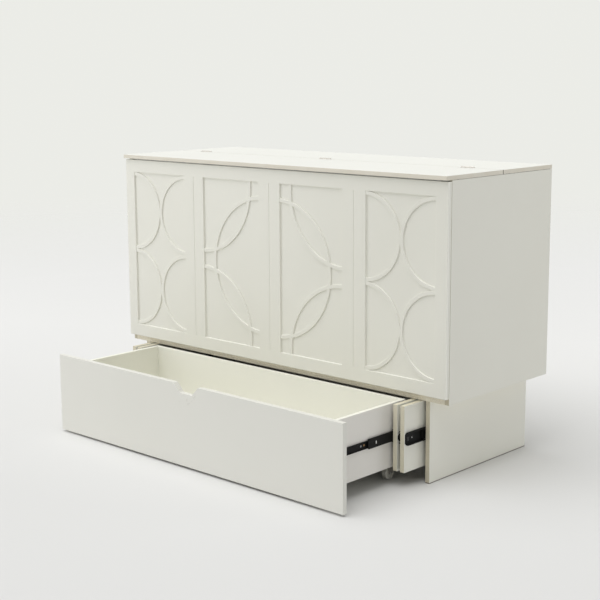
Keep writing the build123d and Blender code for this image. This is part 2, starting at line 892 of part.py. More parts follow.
def parts():
    """Every sub-part by name, in its place with the bed as it stands in use by day."""
    base_stage = (outer_face, 1, carriage_slide_length)
    carriage_stage = (outer_inner, -1, carriage_slide_length)
    drawer_stage = (inner_inner, -1, drawer_slide_length)
    out = outer_carriage_out
    whole = drawer_total_out
    places = wheel_places()
    found = {
        "left_side_panel": [mirror(side_panel(), about=Plane.YZ)],
        "right_side_panel": [side_panel()],
        "back_panel": [back_panel()],
        "floor_panel": [floor_panel()],
        "deck_slats": deck_slats(),
        "top_rail": [top_rail()],
        "rear_top_board": [rear_top_board()],
        "lid_spacers": lid_spacers(),
        "lid_hinge_fixed_leaves": lid_hinge_leaves(1, lid_hinge_fixed_spans),
        "lid_hinge_pins": lid_hinge_pins(),
        "catch_magnets": both_sides(side_magnets()),
        "pivot_plates": pivot_plates(),
        "base_left_panel": [mirror(base_side_panel(), about=Plane.YZ)],
        "base_right_panel": [base_side_panel()],
        "base_back_panel": [base_back_panel()],
        "base_slide_rails": both_sides([inner_member(*base_stage)]),
        "mattress_front_section": [mattress_section_at(0)],
        "mattress_middle_section": [mattress_section_at(1)],
        "mattress_rear_section": [mattress_section_at(2)],
        "lid_flap": [lid_flap()],
        "lid_hinge_moving_leaves": lid_hinge_leaves(-1, lid_hinge_moving_spans),
        "front_board": [front_board()],
        "front_rails": front_rails(),
        "front_stiles": front_stiles(),
        "ring_fretwork": ring_fretwork(),
        "lens_fretwork": lens_fretwork(),
        "front_pivot_pins": pivot_pins(),
        "catch_plates": catch_plates(),
        "foot_panel": [foot_panel()],
        "foot_bearers": foot_bearers(),
        "deck_hinge_front_leaf": [deck_hinge_leaf_strip(-1, 0)],
        "deck_hinge_foot_leaf": [deck_hinge_leaf_strip(1, 1)],
        "deck_hinge_pin": [deck_hinge_pin()],
        "base_slide_middles": drawn_out(both_sides([middle_member(*base_stage)]), out / 2),
        "base_slide_cages": drawn_out(both_sides(ball_cages(*base_stage, True)), out / 2),
        "outer_carriage_sides": drawn_out(
            both_sides([carriage_side(outer_face, outer_carriage_length)]), out
        ),
        "outer_carriage_rail": drawn_out(
            [carriage_rail(outer_inner, outer_carriage_back)], out
        ),
        "outer_carriage_base_channels": drawn_out(
            both_sides([outer_member(*base_stage)]), out
        ),
        "outer_carriage_channels": drawn_out(
            both_sides([outer_member(*carriage_stage)]), out
        ),
        "carriage_slide_middles": drawn_out(
            both_sides([middle_member(*carriage_stage)]), out
        ),
        "carriage_slide_cages": drawn_out(
            both_sides(ball_cages(*carriage_stage, False)), out
        ),
        "inner_carriage_sides": drawn_out(
            both_sides([carriage_side(inner_face, inner_carriage_length)]), out
        ),
        "inner_carriage_rail": drawn_out(
            [carriage_rail(inner_inner, inner_carriage_back)], out
        ),
        "inner_carriage_rails": drawn_out(
            both_sides([inner_member(*carriage_stage)]), out
        ),
        "inner_carriage_channels": drawn_out(
            both_sides([outer_member(*drawer_stage)]), out
        ),
        "drawer_slide_middles": drawn_out(
            both_sides([middle_member(*drawer_stage)]), out + drawer_out / 2
        ),
        "drawer_slide_cages": drawn_out(
            both_sides(ball_cages(*drawer_stage, False)), out + drawer_out / 2
        ),
        "drawer_slide_rails": drawn_out(both_sides([inner_member(*drawer_stage)]), whole),
        "drawer_front": drawn_out([drawer_front()], whole),
        "drawer_left_side": drawn_out([mirror(drawer_side(), about=Plane.YZ)], whole),
        "drawer_right_side": drawn_out([drawer_side()], whole),
        "drawer_back": drawn_out([drawer_back()], whole),
        "drawer_floor": drawn_out([drawer_floor()], whole),
        "wheel_brackets": drawn_out([wheel_bracket(*at) for at in places.values()], whole),
        "wheel_axles": drawn_out([wheel_axle(*at) for at in places.values()], whole),
    }
    for name, at in places.items():
        found[name] = drawn_out([wheel(*at)], whole)
    return found


os.makedirs("parts", exist_ok=True)
for part_name, part_solids in parts().items():
    save(part_name, part_solids)
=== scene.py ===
import json
import math

import bmesh
import bpy
import numpy as np
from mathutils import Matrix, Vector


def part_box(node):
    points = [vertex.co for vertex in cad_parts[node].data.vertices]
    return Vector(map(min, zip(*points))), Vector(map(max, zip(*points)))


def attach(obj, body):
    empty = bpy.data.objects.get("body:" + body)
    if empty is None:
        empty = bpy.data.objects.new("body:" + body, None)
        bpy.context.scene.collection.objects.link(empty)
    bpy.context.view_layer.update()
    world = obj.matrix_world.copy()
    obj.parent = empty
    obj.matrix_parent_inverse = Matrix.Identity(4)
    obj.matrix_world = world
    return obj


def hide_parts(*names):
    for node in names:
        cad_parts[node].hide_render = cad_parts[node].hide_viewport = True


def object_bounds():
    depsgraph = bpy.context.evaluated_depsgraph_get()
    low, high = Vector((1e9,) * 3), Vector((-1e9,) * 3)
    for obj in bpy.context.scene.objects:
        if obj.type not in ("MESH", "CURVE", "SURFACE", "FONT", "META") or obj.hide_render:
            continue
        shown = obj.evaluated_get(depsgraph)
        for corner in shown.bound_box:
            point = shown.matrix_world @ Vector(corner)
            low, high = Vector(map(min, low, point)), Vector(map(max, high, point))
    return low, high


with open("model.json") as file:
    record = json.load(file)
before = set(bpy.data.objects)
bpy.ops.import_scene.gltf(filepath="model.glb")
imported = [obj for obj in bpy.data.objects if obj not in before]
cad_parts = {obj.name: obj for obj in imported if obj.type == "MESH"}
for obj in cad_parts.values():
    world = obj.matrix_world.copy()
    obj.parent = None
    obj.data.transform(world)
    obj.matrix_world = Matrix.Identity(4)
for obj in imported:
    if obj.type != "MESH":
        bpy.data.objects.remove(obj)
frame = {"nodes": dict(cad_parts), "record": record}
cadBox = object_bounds()
nodes = frame["nodes"]
millimetres = 1000
print("frame loaded:", len(nodes), "nodes")


# a wire is one socket, and arithmetic on it adds Math nodes
class Wire:
    def __init__(self, board, socket):
        self.board = board
        self.socket = socket

    def join(self, operation, first, second):
        return self.board.add("ShaderNodeMath", {"operation": operation}, {0: first, 1: second})

    def __add__(self, other):
        return self.join("ADD", self, other)

    def __radd__(self, other):
        return self.join("ADD", other, self)

    def __sub__(self, other):
        return self.join("SUBTRACT", self, other)

    def __rsub__(self, other):
        return self.join("SUBTRACT", other, self)

    def __mul__(self, other):
        return self.join("MULTIPLY", self, other)

    def __rmul__(self, other):
        return self.join("MULTIPLY", other, self)

    def __pow__(self, other):
        return self.join("POWER", self, other)

    def __abs__(self):
        return self.join("ABSOLUTE", self, 0.0)

    def most(self, other):
        return self.join("MAXIMUM", self, other)

    def least(self, other):
        return self.join("MINIMUM", self, other)


# a board of nodes, and the one way of adding to it
class Board:
    def __init__(self, tree):
        self.tree = tree

    # settings first, then the values or wires of the node's sockets
    def add(self, kind, settings, sockets, output=0):
        made = self.tree.nodes.new(kind)
        for key, value in settings.items():
            if key == "stops":
                self.setStops(made.color_ramp, value)
            else:
                setattr(made, key, value)
        for key, value in sockets.items():
            self.feed(made.inputs[key], value)
        return Wire(self, made.outputs[output])

    # a colour is given as three numbers, and its socket takes four
    def feed(self, socket, value):
        if isinstance(value, Wire):
            self.tree.links.new(value.socket, socket)
        else:
            socket.default_value = (*value, 1) if socket.type == "RGBA" else value

    def setStops(self, ramp, stops):
        while len(ramp.elements) < len(stops):
            ramp.elements.new(0.5)
        for element, (place, colour) in zip(ramp.elements, stops):
            element.position = place
            element.color = (*colour, 1)


class Finish(Board):
    def __init__(self, name, constants):
        self.material = bpy.data.materials.new(name)
        self.material.use_nodes = True
        super().__init__(self.material.node_tree)
        self.shader = self.tree.nodes["Principled BSDF"]
        self.set(constants)

    def set(self, sockets):
        for key, value in sockets.items():
            self.feed(self.shader.inputs[key], value)

    def place(self):
        return self.add("ShaderNodeTexCoord", {}, {}, "Object")

    # how far the surface faces along one axis, 0 edge on and 1 square on
    def facing(self, name):
        normal = self.add("ShaderNodeTexCoord", {}, {}, "Normal")
        return abs(self.add("ShaderNodeSeparateXYZ", {}, {0: normal}, name))

    # object position, squeezed or stretched along each axis
    def mapped(self, scale):
        return self.add("ShaderNodeMapping", {}, {"Vector": self.place(), "Scale": scale})

    def noise(self, scale, detail, stretch=(1, 1, 1)):
        sockets = {"Vector": self.mapped(stretch), "Scale": scale, "Detail": detail}
        return self.add("ShaderNodeTexNoise", {}, sockets)

    def noises(self, look, *names):
        return [self.noise(*look[name]) for name in names]

    def axis(self, name):
        return self.add("ShaderNodeSeparateXYZ", {}, {0: self.place()}, name)

    # how far the surface lies from a point
    def fromPoint(self, point):
        sockets = {0: self.place(), 1: point}
        return self.add("ShaderNodeVectorMath", {"operation": "DISTANCE"}, sockets, "Value")

    def colours(self, factor, *stops):
        return self.add("ShaderNodeValToRGB", {"stops": stops}, {0: factor})

    def blend(self, factor, first, second):
        sockets = {0: factor, 6: first, 7: second}
        return self.add("ShaderNodeMix", {"data_type": "RGBA"}, sockets, 2)

    # 0 below low, 1 above high, straight between
    def step(self, value, low, high):
        sockets = {"Value": value, "From Min": low, "From Max": high}
        return self.add("ShaderNodeMapRange", {}, sockets)

    # a sine of a position given in millimetres, one turn for each pitch
    def wave(self, value, pitch):
        turns = value * (2 * math.pi / pitch)
        return self.add("ShaderNodeMath", {"operation": "SINE"}, {0: turns})

    # how far a value lies from the nearest whole multiple of a pitch
    def fromLine(self, value, pitch):
        return self.add("ShaderNodeMath", {"operation": "PINGPONG"}, {0: value, 1: pitch / 2})

    def bump(self, height, distance, strength=1.0):
        sockets = {"Height": height, "Distance": distance, "Strength": strength}
        self.set({"Normal": self.add("ShaderNodeBump", {}, sockets)})

    # the sum of the wires, each times its share, and the number that the sheen starts at
    def sheen(self, look, *wires):
        start, *shares = look["sheen"]
        first, *others = [wire * share for wire, share in zip(wires, shares)]
        for other in others:
            first = first + other
        return first + start

    # the whole surface: its colour, its roughness and its relief
    def coat(self, look, tone, sheen, relief):
        self.set({"Base Color": tone, "Roughness": sheen})
        self.bump(relief, *look["bump"])
        return self.material


# in every look, a noise has its scale, its detail and its stretch along the three axes; tones are a
# ramp's places and colours; a sheen starts at its first number and adds each noise's share; a bump
# has its depth and its strength
lacquerLook = {
    "shine": {"Specular IOR Level": 0.4},
    "tones": ((0.35, (0.782, 0.775, 0.704)), (0.65, (0.797, 0.791, 0.722))),
    "cloud": (2.2, 3),
    "peel": (420, 1.5),
    "grain": (60, 4),
    "grainShare": 0.6,
    "sheen": (0.29, 0.06, 0.08),
    "bump": (0.00006,),
}
# painted light: the lid's boards get the same lacquer made paler, for a top that faces the light
lidLitLook = {**lacquerLook, "tones": ((0.35, (0.85, 0.85, 0.80)), (0.65, (0.865, 0.865, 0.815)))}
# painted shade: the drawer front gets the same lacquer made darker
drawerShadedLook = {
    **lacquerLook,
    "tones": ((0.35, (0.738, 0.733, 0.682)), (0.65, (0.752, 0.747, 0.698))),
}
# painted light: the base panels get the same lacquer made paler, against the shade under the
# cabinet's overhang
baseLitLook = {
    **lacquerLook,
    "tones": ((0.35, (0.825, 0.818, 0.745)), (0.65, (0.84, 0.834, 0.762))),
}


# sprayed lacquer: a faint cloudy tone over an orange peel a couple of millimetres wide
def sprayed(finish, look):
    cloud, peel, grain = finish.noises(look, "cloud", "peel", "grain")
    tone = finish.colours(cloud, *look["tones"])
    return tone, finish.sheen(look, cloud, grain), peel + grain * look["grainShare"]


def sprayedLacquer(name, look):
    finish = Finish(name, look["shine"])
    return finish.coat(look, *sprayed(finish, look))


bandLook = {
    "board": ((0.3, (0.56, 0.51, 0.385)), (0.7, (0.63, 0.585, 0.455))),
    "carriage": ((0.3, (0.63, 0.585, 0.44)), (0.7, (0.72, 0.68, 0.54))),
    "lid": ((0.3, (0.72, 0.675, 0.575)), (0.7, (0.765, 0.73, 0.64))),
    # painted light: the relief's sides and steps are made paler than its face, against the shade that
    # falls on them
    "relief": ((0.3, (0.93, 0.925, 0.86)), (0.7, (0.95, 0.945, 0.885))),
    "streak": (14, 4, (1, 1, 0.3)),
    "edgeFacing": (0.3, 0.75),
    "edgeSheen": 0.14,
    "darkShare": 0.9,
    # painted shadow: a thin dark line along the board's foot where it meets the floor
    "footShadowRise": (0.0022, 0.0042),
    "footShadowTone": (0.09, 0.075, 0.055),
    # painted shade in the split between the lid's two boards, near the lid's ends
    "splitShadeReach": (0.0016, 0.0019),
    "splitShadeEnds": (0.02, 0.01),
    "splitShadeTone": (0.15, 0.13, 0.10),
}


# lacquered faces and an edge band, on a board that is thin along one axis; band names its tones,
# which for the relief are painted light; it can also paint a shadow line along the foot and shade
# into the lid's split
def bandedLacquer(name, look, thin, band, footShadowLine=False, splitY=None):
    finish = Finish(name, look["shine"])
    tone, sheen, relief = sprayed(finish, look)
    edge = 1 - finish.step(finish.facing(thin), *bandLook["edgeFacing"])
    streak = finish.noise(*bandLook["streak"])
    mixed = finish.blend(edge, tone, finish.colours(streak, *bandLook[band]))
    dark = bandLook["darkShare"]
    if footShadowLine:
        # painted shadow: a thin dark line along the foot of the board, where it stands on the floor
        foot = 1 - finish.step(finish.axis("Z"), *bandLook["footShadowRise"])
        mixed = finish.blend(foot * dark, mixed, bandLook["footShadowTone"])
    if splitY is not None:
        # painted shade: the faces of the split between the two boards are darkened near the lid's
        # ends
        split = 1 - finish.step(abs(finish.axis("Y") - splitY), *bandLook["splitShadeReach"])
        start, full = (cadBox[1][0] - inset for inset in bandLook["splitShadeEnds"])
        ends = finish.step(abs(finish.axis("X")), start, full)
        mixed = finish.blend(split * ends * dark, mixed, bandLook["splitShadeTone"])
    return finish.coat(look, mixed, sheen + edge * bandLook["edgeSheen"], relief)


handledLook = {
    "notch": (0, -1.02, 0.295),
    "reach": (0.05, 0.16),
    "smudge": (38, 5),
    "smudged": (0.42, 0.62),
    "rubbedTone": (0.72, 0.70, 0.635),
    "rubbedShare": 0.08,
    "rubbedSheen": 0.1,
}


# the drawer front is held at its finger notch, where the sheen is a little rubbed
def handledLacquer(name, look, handled):
    finish = Finish(name, look["shine"])
    tone, sheen, relief = sprayed(finish, look)
    smudge = finish.noise(*handled["smudge"])
    near = 1 - finish.step(finish.fromPoint(handled["notch"]), *handled["reach"])
    rubbed = near * finish.step(smudge, *handled["smudged"])
    warm = finish.blend(rubbed * handled["rubbedShare"], tone, handled["rubbedTone"])
    return finish.coat(look, warm, sheen - rubbed * handled["rubbedSheen"], relief)


foilLook = {
    "shine": {"Specular IOR Level": 0.35},
    "innerTones": ((0.3, (0.862, 0.856, 0.772)), (0.7, (0.885, 0.88, 0.80))),
    "outerTones": ((0.3, (0.77, 0.75, 0.71)), (0.7, (0.79, 0.77, 0.73))),
    "skin": 0.0006,
    "inside": 0.0002,
    "cloud": (3.0, 3),
    "weft": (900, 1, (1, 0.12, 0.12)),
    "warp": (900, 1, (0.12, 1, 0.12)),
    "sheen": (0.42, 0.12),
    "bump": (0.00008,),
}


# foil pressed with a fine linen weave, greyer on the outside of the drawer
def creamFoil(outsideFrom, look):
    finish = Finish("creamFoil", look["shine"])
    cloud, weft, warp = finish.noises(look, "cloud", "weft", "warp")
    inner = finish.colours(cloud, *look["innerTones"])
    outer = finish.colours(cloud, *look["outerTones"])
    outside = finish.step(abs(finish.axis("X")), outsideFrom - look["skin"], outsideFrom)
    tone = finish.blend(outside, inner, outer)
    return finish.coat(look, tone, finish.sheen(look, cloud), weft + warp)


chipLook = {
    "shine": {"Specular IOR Level": 0.25},
    "scale": 260,
    "flatness": 2.2,
    "dust": (700, 3),
    "chipShare": 0.6,
    "dustShare": 0.4,
    # the board's own beige chips, made paler: painted light for the strip under the front panel,
    # which lies in shade
    "tones": ((0.2, (0.78, 0.715, 0.57)), (0.5, (0.85, 0.795, 0.645)), (0.8, (0.90, 0.86, 0.73))),
    "sheen": (0.55, 0.2),
    "bump": (0.0002, 0.6),
}


# pressed board: sanded chips under a thin sealer, its beige tones made paler than the raw board,
# partly painted light
def bareBoard(look):
    finish = Finish("bareBoard", look["shine"])
    cells = {"Vector": finish.mapped((1, 1, look["flatness"])), "Scale": look["scale"]}
    chips = finish.add("ShaderNodeTexVoronoi", {}, cells, "Color")
    shade = finish.add("ShaderNodeSeparateColor", {}, {0: chips}, 0)
    dust = finish.noise(*look["dust"])
    mixed = shade * look["chipShare"] + dust * look["dustShare"]
    tone = finish.colours(mixed, *look["tones"])
    return finish.coat(look, tone, finish.sheen(look, dust), shade + dust)


pineLook = {
    "shine": {"Specular IOR Level": 0.3},
    "wander": (1.4, 3, (0.8, 6, 6)),
    "lines": (10, 5, (0.25, 14, 14)),
    "fibre": (240, 3, (0.05, 1, 1)),
    "knots": (7, 1, (0.7, 2.2, 1)),
    "shares": (0.65, 0.15, 0.2),
    "tones": ((0.34, (0.50, 0.335, 0.185)), (0.46, (0.66, 0.495, 0.315)), (0.62, (0.76, 0.62, 0.44))),
    "knotEdge": (0.70, 0.76),
    "knotTone": (0.26, 0.145, 0.07),
    "knotShare": 0.7,
    "sheen": (0.5, 0.15),
    "bump": (0.0002, 0.7),
}


# planed pine: growth lines stretched along X, darker late wood, a few small knots
def pineSlats(look):
    finish = Finish("pineSlats", look["shine"])
    wander, lines, fibre, knots = finish.noises(look, "wander", "lines", "fibre", "knots")
    lined, fibrous, wandering = look["shares"]
    mixed = lines * lined + fibre * fibrous + wander * wandering
    knot = finish.step(knots, *look["knotEdge"]) * look["knotShare"]
    tone = finish.blend(knot, finish.colours(mixed, *look["tones"]), look["knotTone"])
    return finish.coat(look, tone, finish.sheen(look, fibre), fibre + lines)


paintLook = {
    "shine": {"Specular IOR Level": 0.14},
    "streaks": (30, 4, (8, 0.15, 18)),
    "blotch": (45, 4),
    "pits": (500, 2),
    "wornFrom": (0.64, 0.74),
    "wornShare": 0.4,
    "tone": (0.007, 0.007, 0.007),
    "wornTone": (0.13, 0.13, 0.14),
    "sheen": (0.42, 0.3),
    "bump": (0.00006,),
}


# black dip paint, rubbed thin in streaks that run along the slide
def slidePaint(look):
    finish = Finish("slidePaint", look["shine"])
    streaks, blotch, pits = finish.noises(look, "streaks", "blotch", "pits")
    worn = finish.step(streaks, *look["wornFrom"]) * look["wornShare"]
    finish.set({"Metallic": worn})
    tone = finish.blend(worn, look["tone"], look["wornTone"])
    return finish.coat(look, tone, finish.sheen(look, blotch), pits + blotch)


plateLook = {
    "shine": {"Metallic": 1.0},
    "brush": (300, 3),
    "cloud": (26, 4),
    "sheenShares": (0.18, 0.12),
    "bump": (0.00004, 0.7),
}
# the tones of each plating, the stretch of its brush lines, where its sheen starts
plateLooks = {
    "zincPlate": (((0.3, (0.50, 0.50, 0.50)), (0.7, (0.62, 0.62, 0.63))), (1, 0.05, 1), 0.22),
    "nickelPlate": (((0.3, (0.47, 0.455, 0.43)), (0.7, (0.60, 0.58, 0.55))), (0.05, 1, 1), 0.18),
    "brassPlate": (((0.3, (0.22, 0.14, 0.07)), (0.7, (0.30, 0.19, 0.10))), (1, 1, 1), 0.30),
    "dullPlate": (((0.3, (0.22, 0.22, 0.23)), (0.7, (0.30, 0.30, 0.31))), (1, 1, 1), 0.30),
    "brightZinc": (((0.3, (0.88, 0.88, 0.88)), (0.7, (0.95, 0.95, 0.95))), (1, 1, 1), 0.38),
}


# rolled and plated steel: long brush lines, cloudy plating
def platedSteel(name, tones, stretch, sheenStart):
    look = {**plateLook, "sheen": (sheenStart, *plateLook["sheenShares"])}
    finish = Finish(name, look["shine"])
    brush = finish.noise(*look["brush"], stretch)
    cloud = finish.noise(*look["cloud"])
    return finish.coat(look, finish.colours(cloud, *tones), finish.sheen(look, brush, cloud), brush)


leafLook = {
    "shine": {"Specular IOR Level": 0.4},
    "bareReach": (0.0035, 0.0047),
    "bareShare": 0.9,
    "bareTone": (0.60, 0.57, 0.53),
    "bareMetal": 0.6,
    "chips": (420, 4),
    "chipSize": 0.002,
    "cloud": (40, 3),
    "tones": ((0.3, (0.80, 0.79, 0.74)), (0.7, (0.86, 0.85, 0.80))),
    "sheen": (0.32, 0.2),
    "bump": (0.00008,),
}


# enamelled hinge leaves: white like the lid, worn to the steel along the knuckles
def enamelledLeaf(name, axisY, look):
    finish = Finish(name, look["shine"])
    away = abs(finish.axis("Y") - axisY)
    chips, cloud = finish.noises(look, "chips", "cloud")
    bare = 1 - finish.step(away + chips * look["chipSize"], *look["bareReach"])
    bare = bare * look["bareShare"]
    finish.set({"Metallic": bare * look["bareMetal"]})
    tone = finish.blend(bare, finish.colours(cloud, *look["tones"]), look["bareTone"])
    return finish.coat(look, tone, finish.sheen(look, chips), chips)


nylonLook = {
    "shine": {"Specular IOR Level": 0.4},
    "treadFrom": (0.0215, 0.0238),
    "scuffs": (320, 4),
    "scuffEdge": (0.42, 0.60),
    "scuffTone": (0.27, 0.255, 0.235),
    "scuffShare": 0.55,
    "cloud": (70, 3),
    "pits": (600, 2),
    "tones": ((0.3, (0.56, 0.55, 0.50)), (0.7, (0.63, 0.62, 0.575))),
    "sheen": (0.36, 0.12, 0.25),
    "bump": (0.00008,),
}


# moulded nylon: the tread picks up dust and scuffs as it rolls
def wheelNylon(name, axleY, axleZ, look):
    finish = Finish(name, look["shine"])
    depth = finish.axis("Y") - axleY
    height = finish.axis("Z") - axleZ
    tread = finish.step((depth * depth + height * height) ** 0.5, *look["treadFrom"])
    scuffs, cloud, pits = finish.noises(look, "scuffs", "cloud", "pits")
    scuff = finish.step(scuffs, *look["scuffEdge"]) * tread
    clean = finish.colours(cloud, *look["tones"])
    tone = finish.blend(scuff * look["scuffShare"], clean, look["scuffTone"])
    return finish.coat(look, tone, finish.sheen(look, cloud, scuff), pits + scuff)


rubberLook = {
    "shine": {"Specular IOR Level": 0.3},
    "bloom": (180, 4),
    "tones": ((0.35, (0.030, 0.030, 0.031)), (0.7, (0.062, 0.061, 0.060))),
    "sheen": (0.62, 0.2),
    "bump": (0.0001,),
}


# soft rubber with a dusty bloom
def softRubber(look):
    finish = Finish("softRubber", look["shine"])
    bloom = finish.noise(*look["bloom"])
    tone = finish.colours(bloom, *look["tones"])
    return finish.coat(look, tone, finish.sheen(look, bloom), bloom)


tickingLook = {
    "shine": {"Specular IOR Level": 0.2, "Sheen Weight": 0.2, "Sheen Roughness": 0.5},
    "tone": (0.81, 0.805, 0.78),
    "shade": (0.64, 0.635, 0.61),
    "stitch": 1.6,
    "lean": 0.14,
    "turnFacing": (0.6, 0.75),
    "slub": (90, 4),
    "fuzz": (900, 2),
    "weaveShares": (0.25, 0.35, 0.5),
    "toneShares": (0.35, 0.4),
    "fuzzShare": 0.5,
    "sheen": (0.78, 0.12),
    "bump": (0.0006, 0.6),
}
cordLook = {**tickingLook, "tone": (0.57, 0.56, 0.53), "shade": (0.42, 0.41, 0.385), "stitch": 1.2}


# knitted ticking: rows of small stitches across whichever way the cloth faces, in millimetres
def knittedTicking(name, look, quilt=None):
    finish = Finish(name, look["shine"])
    x, y, z = (finish.axis(letter) * millimetres for letter in "XYZ")
    endOn = finish.step(finish.facing("X"), *look["turnFacing"])
    topOn = finish.step(finish.facing("Z"), *look["turnFacing"])
    across = x + (y - x) * endOn
    along = z + (y - z) * topOn
    rows = finish.wave(along, look["stitch"])
    wales = finish.wave(across + rows * (look["stitch"] * look["lean"]), look["stitch"])
    slub, fuzz = finish.noises(look, "slub", "fuzz")
    rowed, waled, level = look["weaveShares"]
    weave = rows * rowed + wales * waled + level
    woven, slubbed = look["toneShares"]
    colour = finish.blend(weave * woven + slub * slubbed, look["shade"], look["tone"])
    relief = weave + fuzz * look["fuzzShare"]
    if quilt:
        colour, relief = quilted(finish, (x, y, z), colour, relief, quilt)
    return finish.coat(look, colour, finish.sheen(look, fuzz), relief)


# lock stitches along the diamonds of the broad panels, and a darker border between the panels;
# the look's sizes are in millimetres
def quilted(finish, place, colour, relief, look):
    x, y, z = place
    fromMiddle = finish.fromLine(y - look["firstMiddle"], look["sectionPitch"])
    panel = finish.step(fromMiddle, look["rim"] - look["rimFade"], look["rim"] + look["rimFade"])
    rise = z - look["level"]
    rising = finish.fromLine(x + rise, look["pitch"])
    falling = finish.fromLine(x - rise, look["pitch"])
    seam = (1 - finish.step(rising.least(falling), *look["seamEdge"])) * panel
    dash = finish.step(finish.wave(x, look["dash"]), *look["dashEdge"])
    border = finish.blend(relief * look["borderShare"], look["borderShade"], look["borderTone"])
    colour = finish.blend(panel, border, colour)
    colour = finish.blend(seam * look["seamShare"], colour, look["borderShade"])
    return colour, relief - seam * (look["seamDepth"] - dash * look["dashDepth"])


def boxOf(name):
    low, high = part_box(name)
    return np.array(low), np.array(high)


lidSplit = boxOf("rear_top_board")[0][1] - boxOf("lid_flap")[1][1]
lidAxisY = boxOf("lid_flap")[1][1] + lidSplit / 2
whiteLacquer = sprayedLacquer("whiteLacquer", lacquerLook)
uprightLacquer = bandedLacquer("uprightLacquer", lacquerLook, "X", "board")
# the relief's lacquer paints light on the sides of the ribs, stiles and rails
reliefLacquerPaintedLight = bandedLacquer("reliefLacquerPaintedLight", lacquerLook, "Y", "relief")
carriageLacquer = bandedLacquer("carriageLacquer", lacquerLook, "X", "carriage")
# the base and foot lacquers paint a thin shadow line along the boards' foot
baseLacquer = bandedLacquer("baseLacquer", baseLitLook, "X", "board", footShadowLine=True)
# the lid lacquer paints shade into the split between its boards
lidLacquer = bandedLacquer("lidLacquer", lidLitLook, "Z", "lid", splitY=lidAxisY)
footLacquer = bandedLacquer("footLacquer", lacquerLook, "Y", "board", footShadowLine=True)
# the drawer front's lacquer carries painted shade, made darker than the rest
notchLacquer = handledLacquer("notchLacquer", drawerShadedLook, handledLook)
foil = creamFoil(boxOf("drawer_right_side")[1][0] - foilLook["inside"], foilLook)
blackPaint = slidePaint(paintLook)
zincPlate, nickelPlate, brassPlate, dullPlate, brightZinc = (
    platedSteel(name, *look) for name, look in plateLooks.items()
)
leafEnamel = enamelledLeaf("leafEnamel", lidAxisY, leafLook)
sectionLow, sectionHigh = boxOf("mattress_front_section")
sectionMiddle = (sectionLow + sectionHigh) / 2
nextMiddle = sum(boxOf("mattress_middle_section")) / 2
quiltPitch = 0.22
padSettle = 0.0035  # the pads sink this far under their own weight
quiltLook = {
    "pitch": quiltPitch * millimetres,
    "dash": 7.0,
    "dashEdge": (-0.5, -0.2),
    "dashDepth": 1.6,
    "seamEdge": (0.9, 1.9),
    "seamShare": 0.45,
    "seamDepth": 3.0,
    "rim": (sectionHigh[1] - sectionLow[1]) / 2 * millimetres - 12.0,
    "rimFade": 1.0,
    "level": (sectionMiddle[2] - padSettle) * millimetres,
    "firstMiddle": sectionMiddle[1] * millimetres,
    "sectionPitch": (nextMiddle[1] - sectionMiddle[1]) * millimetres,
    "borderTone": (0.63, 0.62, 0.59),
    "borderShade": (0.44, 0.43, 0.405),
    "borderShare": 0.3,
}
ticking = knittedTicking("ticking", tickingLook, quiltLook)
pipingCord = knittedTicking("pipingCord", cordLook)
rubber = softRubber(rubberLook)

slotFinish = {
    "white_lacquer": whiteLacquer,
    "bare_board": bareBoard(chipLook),
    "cream_board": foil,
    "pale_slats": pineSlats(pineLook),
    "slide_black": blackPaint,
    "slide_cage": zincPlate,
    "hinge_steel": nickelPlate,
    "magnet": zincPlate,
    "soft_spacer": rubber,
}
nodeFinish = {
    "drawer_front": notchLacquer,
    "front_rails": reliefLacquerPaintedLight,
    "front_stiles": reliefLacquerPaintedLight,
    "ring_fretwork": reliefLacquerPaintedLight,
    "lens_fretwork": reliefLacquerPaintedLight,
    "left_side_panel": uprightLacquer,
    "right_side_panel": uprightLacquer,
    "outer_carriage_sides": carriageLacquer,
    "inner_carriage_sides": carriageLacquer,
    "base_left_panel": baseLacquer,
    "base_right_panel": baseLacquer,
    "base_back_panel": footLacquer,
    "lid_flap": lidLacquer,
    "rear_top_board": lidLacquer,
    "lid_hinge_fixed_leaves": leafEnamel,
    "lid_hinge_moving_leaves": leafEnamel,
}
wheelNames = ("rear_left_wheel", "rear_right_wheel", "front_left_wheel", "front_right_wheel")
for wheelName in wheelNames:
    low, high = boxOf(wheelName)
    middle = (low + high) / 2
    nodeFinish[wheelName] = wheelNylon(wheelName + "_nylon", middle[1], middle[2], nylonLook)
for part in frame["record"]["subparts"]:
    chosen = nodeFinish.get(part["node"]) or slotFinish.get(part["material_slot"])
    if chosen:
        mesh = nodes[part["node"]].data
        mesh.materials.clear()
        mesh.materials.append(chosen)
print("finishes on the frame:", len(bpy.data.materials))


# quads between neighbouring rows and columns of a grid whose columns wrap round
def gridFaces(rows, columns, start=0):
    upper = np.arange(rows - 1)[:, None] * columns + start
    lower = upper + columns
    across = np.arange(columns)
    beside = (across + 1) % columns
    corners = [upper + across, upper + beside, lower + beside, lower + across]
    return np.stack(corners, -1).reshape(-1, 4)


def meshFrom(name, points, quads):
    mesh = bpy.data.meshes.new(name)
    mesh.vertices.add(len(points))
    mesh.vertices.foreach_set("co", points.astype(np.float32).ravel())
    mesh.loops.add(quads.size)
    mesh.loops.foreach_set("vertex_index", quads.astype(np.int32).ravel())
    mesh.polygons.add(len(quads))
    mesh.polygons.foreach_set("loop_start", np.arange(0, quads.size, 4, dtype=np.int32))
    mesh.polygons.foreach_set("use_smooth", np.ones(len(quads), bool))
    return mesh


def closeSeams(mesh):
    tidy = bmesh.new()
    tidy.from_mesh(mesh)
    bmesh.ops.remove_doubles(tidy, verts=tidy.verts, dist=1e-6)
    bmesh.ops.recalc_face_normals(tidy, faces=tidy.faces)
    tidy.to_mesh(mesh)
    tidy.free()


